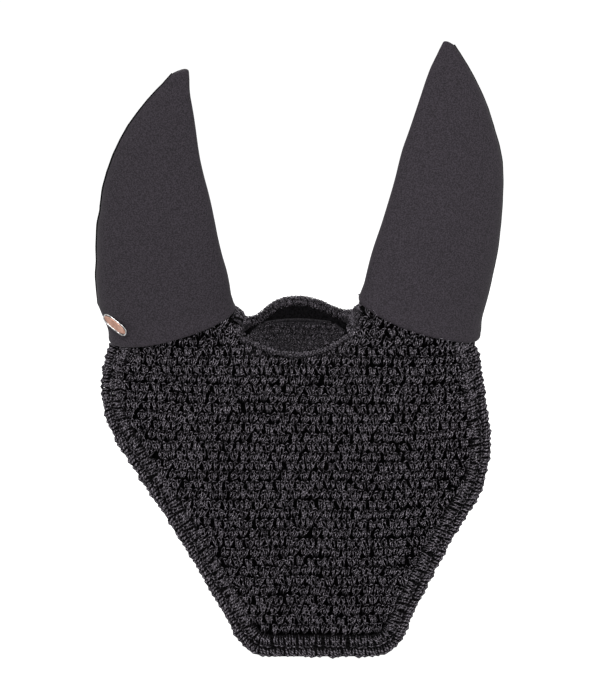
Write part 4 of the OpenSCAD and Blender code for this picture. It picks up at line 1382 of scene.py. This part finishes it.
# The seams are real, and their black thread also serves as painted shadow: the thin dark lines along each
# ear's outer edge and under its foot.
for side, outer in (("left", EAR_SIDES // 2), ("right", 0)):
    points, centres = ear_lines[side]
    edge = roll(f"{side}_edge_seam", points[len(FOOT_HEM):, outer], EDGE_THREAD, THREAD_SIDES, seam_thread,
                "seam_thread")
    flex(edge, centres)
    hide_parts(f"{side}_cuff_seam", f"{side}_ear_seam")
    foot = np.concatenate([points[0], points[0][:2]])
    base = roll(f"{side}_foot_seam", foot, FOOT_THREAD, THREAD_SIDES, seam_thread, "seam_thread")
    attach(base, "bonnet")
    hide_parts(f"{side}_base_seam")
    print(edge.name, base.name)

# %% [markdown]
# ## Badge
#
# A small oval badge is pinned to the left ear: a bright rim round a domed plate of rose gold, held by
# two prongs through a steel backing. The real one is cast and plated. A rim is a round wire bent to
# an oval, so it is an oval curve with a bevel, and the plate is the cap of a flattened sphere.


# %% Metal finishes
def marks_and_reflection_group():
    """Fine rubbing marks on metal, and a slow cloud that gives its painted reflections."""
    group, inside, outside = number_group("metal_marks_and_painted_reflection", {"Marks scale": 3000, "Cloud scale": 300},
                                          ("Marks", "Cloud"))
    for name in ("Marks", "Cloud"):
        clouds(group, inside[f"{name} scale"], 3, outside[name])
    return group


METAL_MARKS_AND_REFLECTION = marks_and_reflection_group()


def metal(name, dull, bright, smooth, rough):
    """A plated metal whose colour follows a slow cloud as painted reflections, and whose roughness varies
    with that cloud.
    """
    made, tree, shader = new_finish(name, {"Metallic": 1})
    marks_and_reflection = add(tree, "Group", node_tree=METAL_MARKS_AND_REFLECTION).outputs
    # Painted reflections: the colour runs from dark to light over the cloud.
    tree.links.new(ramp(tree, marks_and_reflection["Cloud"], 0.38, 0.6, dull, bright), shader.inputs["Base Color"])
    roughness = ramp(tree, marks_and_reflection["Cloud"], 0.3, 0.7, (rough,) * 3, (smooth,) * 3)
    tree.links.new(roughness, shader.inputs["Roughness"])
    bump(tree, shader, marks_and_reflection["Marks"], 0.15, 0.05 * MM)
    return made


bright_silver = metal("bright_silver", (0.3, 0.29, 0.29), (0.95, 0.94, 0.93), 0.12, 0.3)
rose_gold = metal("rose_gold", (0.66, 0.36, 0.27), (0.84, 0.52, 0.41), 0.25, 0.4)
pin_steel = metal("pin_steel", (0.42, 0.42, 0.43), (0.6, 0.6, 0.61), 0.3, 0.45)
for name in ("badge_prongs", "badge_backing"):
    nodes[name].material_slots[0].material = pin_steel
print("metals", bright_silver.name, rose_gold.name, pin_steel.name)


# %% Placing the badge
def oval_frame(name):
    """A matrix from an oval's own axes, long, wide and outwards, to a flat CAD node, and its sizes."""
    points = points_of(name)
    axes = np.linalg.svd(points - points.mean(0), full_matrices=False)[2]
    axes[2] *= -np.sign(axes[2] @ Y)
    axes[0] = np.cross(axes[1], axes[2])
    local = points @ axes.T
    low, high = local.min(0), local.max(0)
    matrix = Matrix.Translation((low + high) / 2 @ axes) @ Matrix(axes.T.tolist()).to_4x4()
    return matrix, high - low


BADGE_LIFT = 1.0 * MM
SMOOTH_BELOW = math.radians(50)


def badge_piece(made, name, matrix, finish, node):
    made.name = made.data.name = name
    made.data.transform(matrix @ Matrix.Translation((0, 0, BADGE_LIFT)))
    made.data.materials.append(finish)
    bpy.ops.object.shade_smooth_by_angle(angle=SMOOTH_BELOW)
    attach(made, "bonnet")
    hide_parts(node)
    print(name, len(made.data.polygons), "faces")


print("badge lift", BADGE_LIFT, "m")

# %% Badge rim
RIM_WIRE = 0.65 * MM
rim_matrix, rim_size = oval_frame("badge_rim")
bpy.ops.object.select_all(action="DESELECT")
bpy.ops.curve.primitive_bezier_circle_add(radius=1, enter_editmode=True)
bpy.ops.transform.resize(value=(rim_size[0] / 2 - RIM_WIRE, rim_size[1] / 2 - RIM_WIRE, 1))
bpy.ops.object.editmode_toggle()
wire = bpy.context.object
wire.data.resolution_u = 16
wire.data.bevel_depth = RIM_WIRE
wire.data.bevel_resolution = 4
bpy.ops.object.convert(target="MESH")
badge_piece(bpy.context.object, "badge_wire_rim", rim_matrix, bright_silver, "badge_rim")

# %% Badge plate
PLATE_DOME = 1.1 * MM
plate_matrix, plate_size = oval_frame("badge_plate")
bpy.ops.object.select_all(action="DESELECT")
bpy.ops.mesh.primitive_uv_sphere_add(segments=64, ring_count=24, radius=1)
bpy.ops.object.editmode_toggle()
bpy.ops.transform.resize(value=(plate_size[0] / 2, plate_size[1] / 2, PLATE_DOME))
bpy.ops.mesh.bisect(plane_co=(0, 0, 0), plane_no=(0, 0, 1), clear_inner=True, use_fill=True)
bpy.ops.object.editmode_toggle()
seat = Matrix.Translation((0, 0, -plate_size[2] / 2))
badge_piece(bpy.context.object, "badge_domed_plate", plate_matrix @ seat, rose_gold,
            "badge_plate")
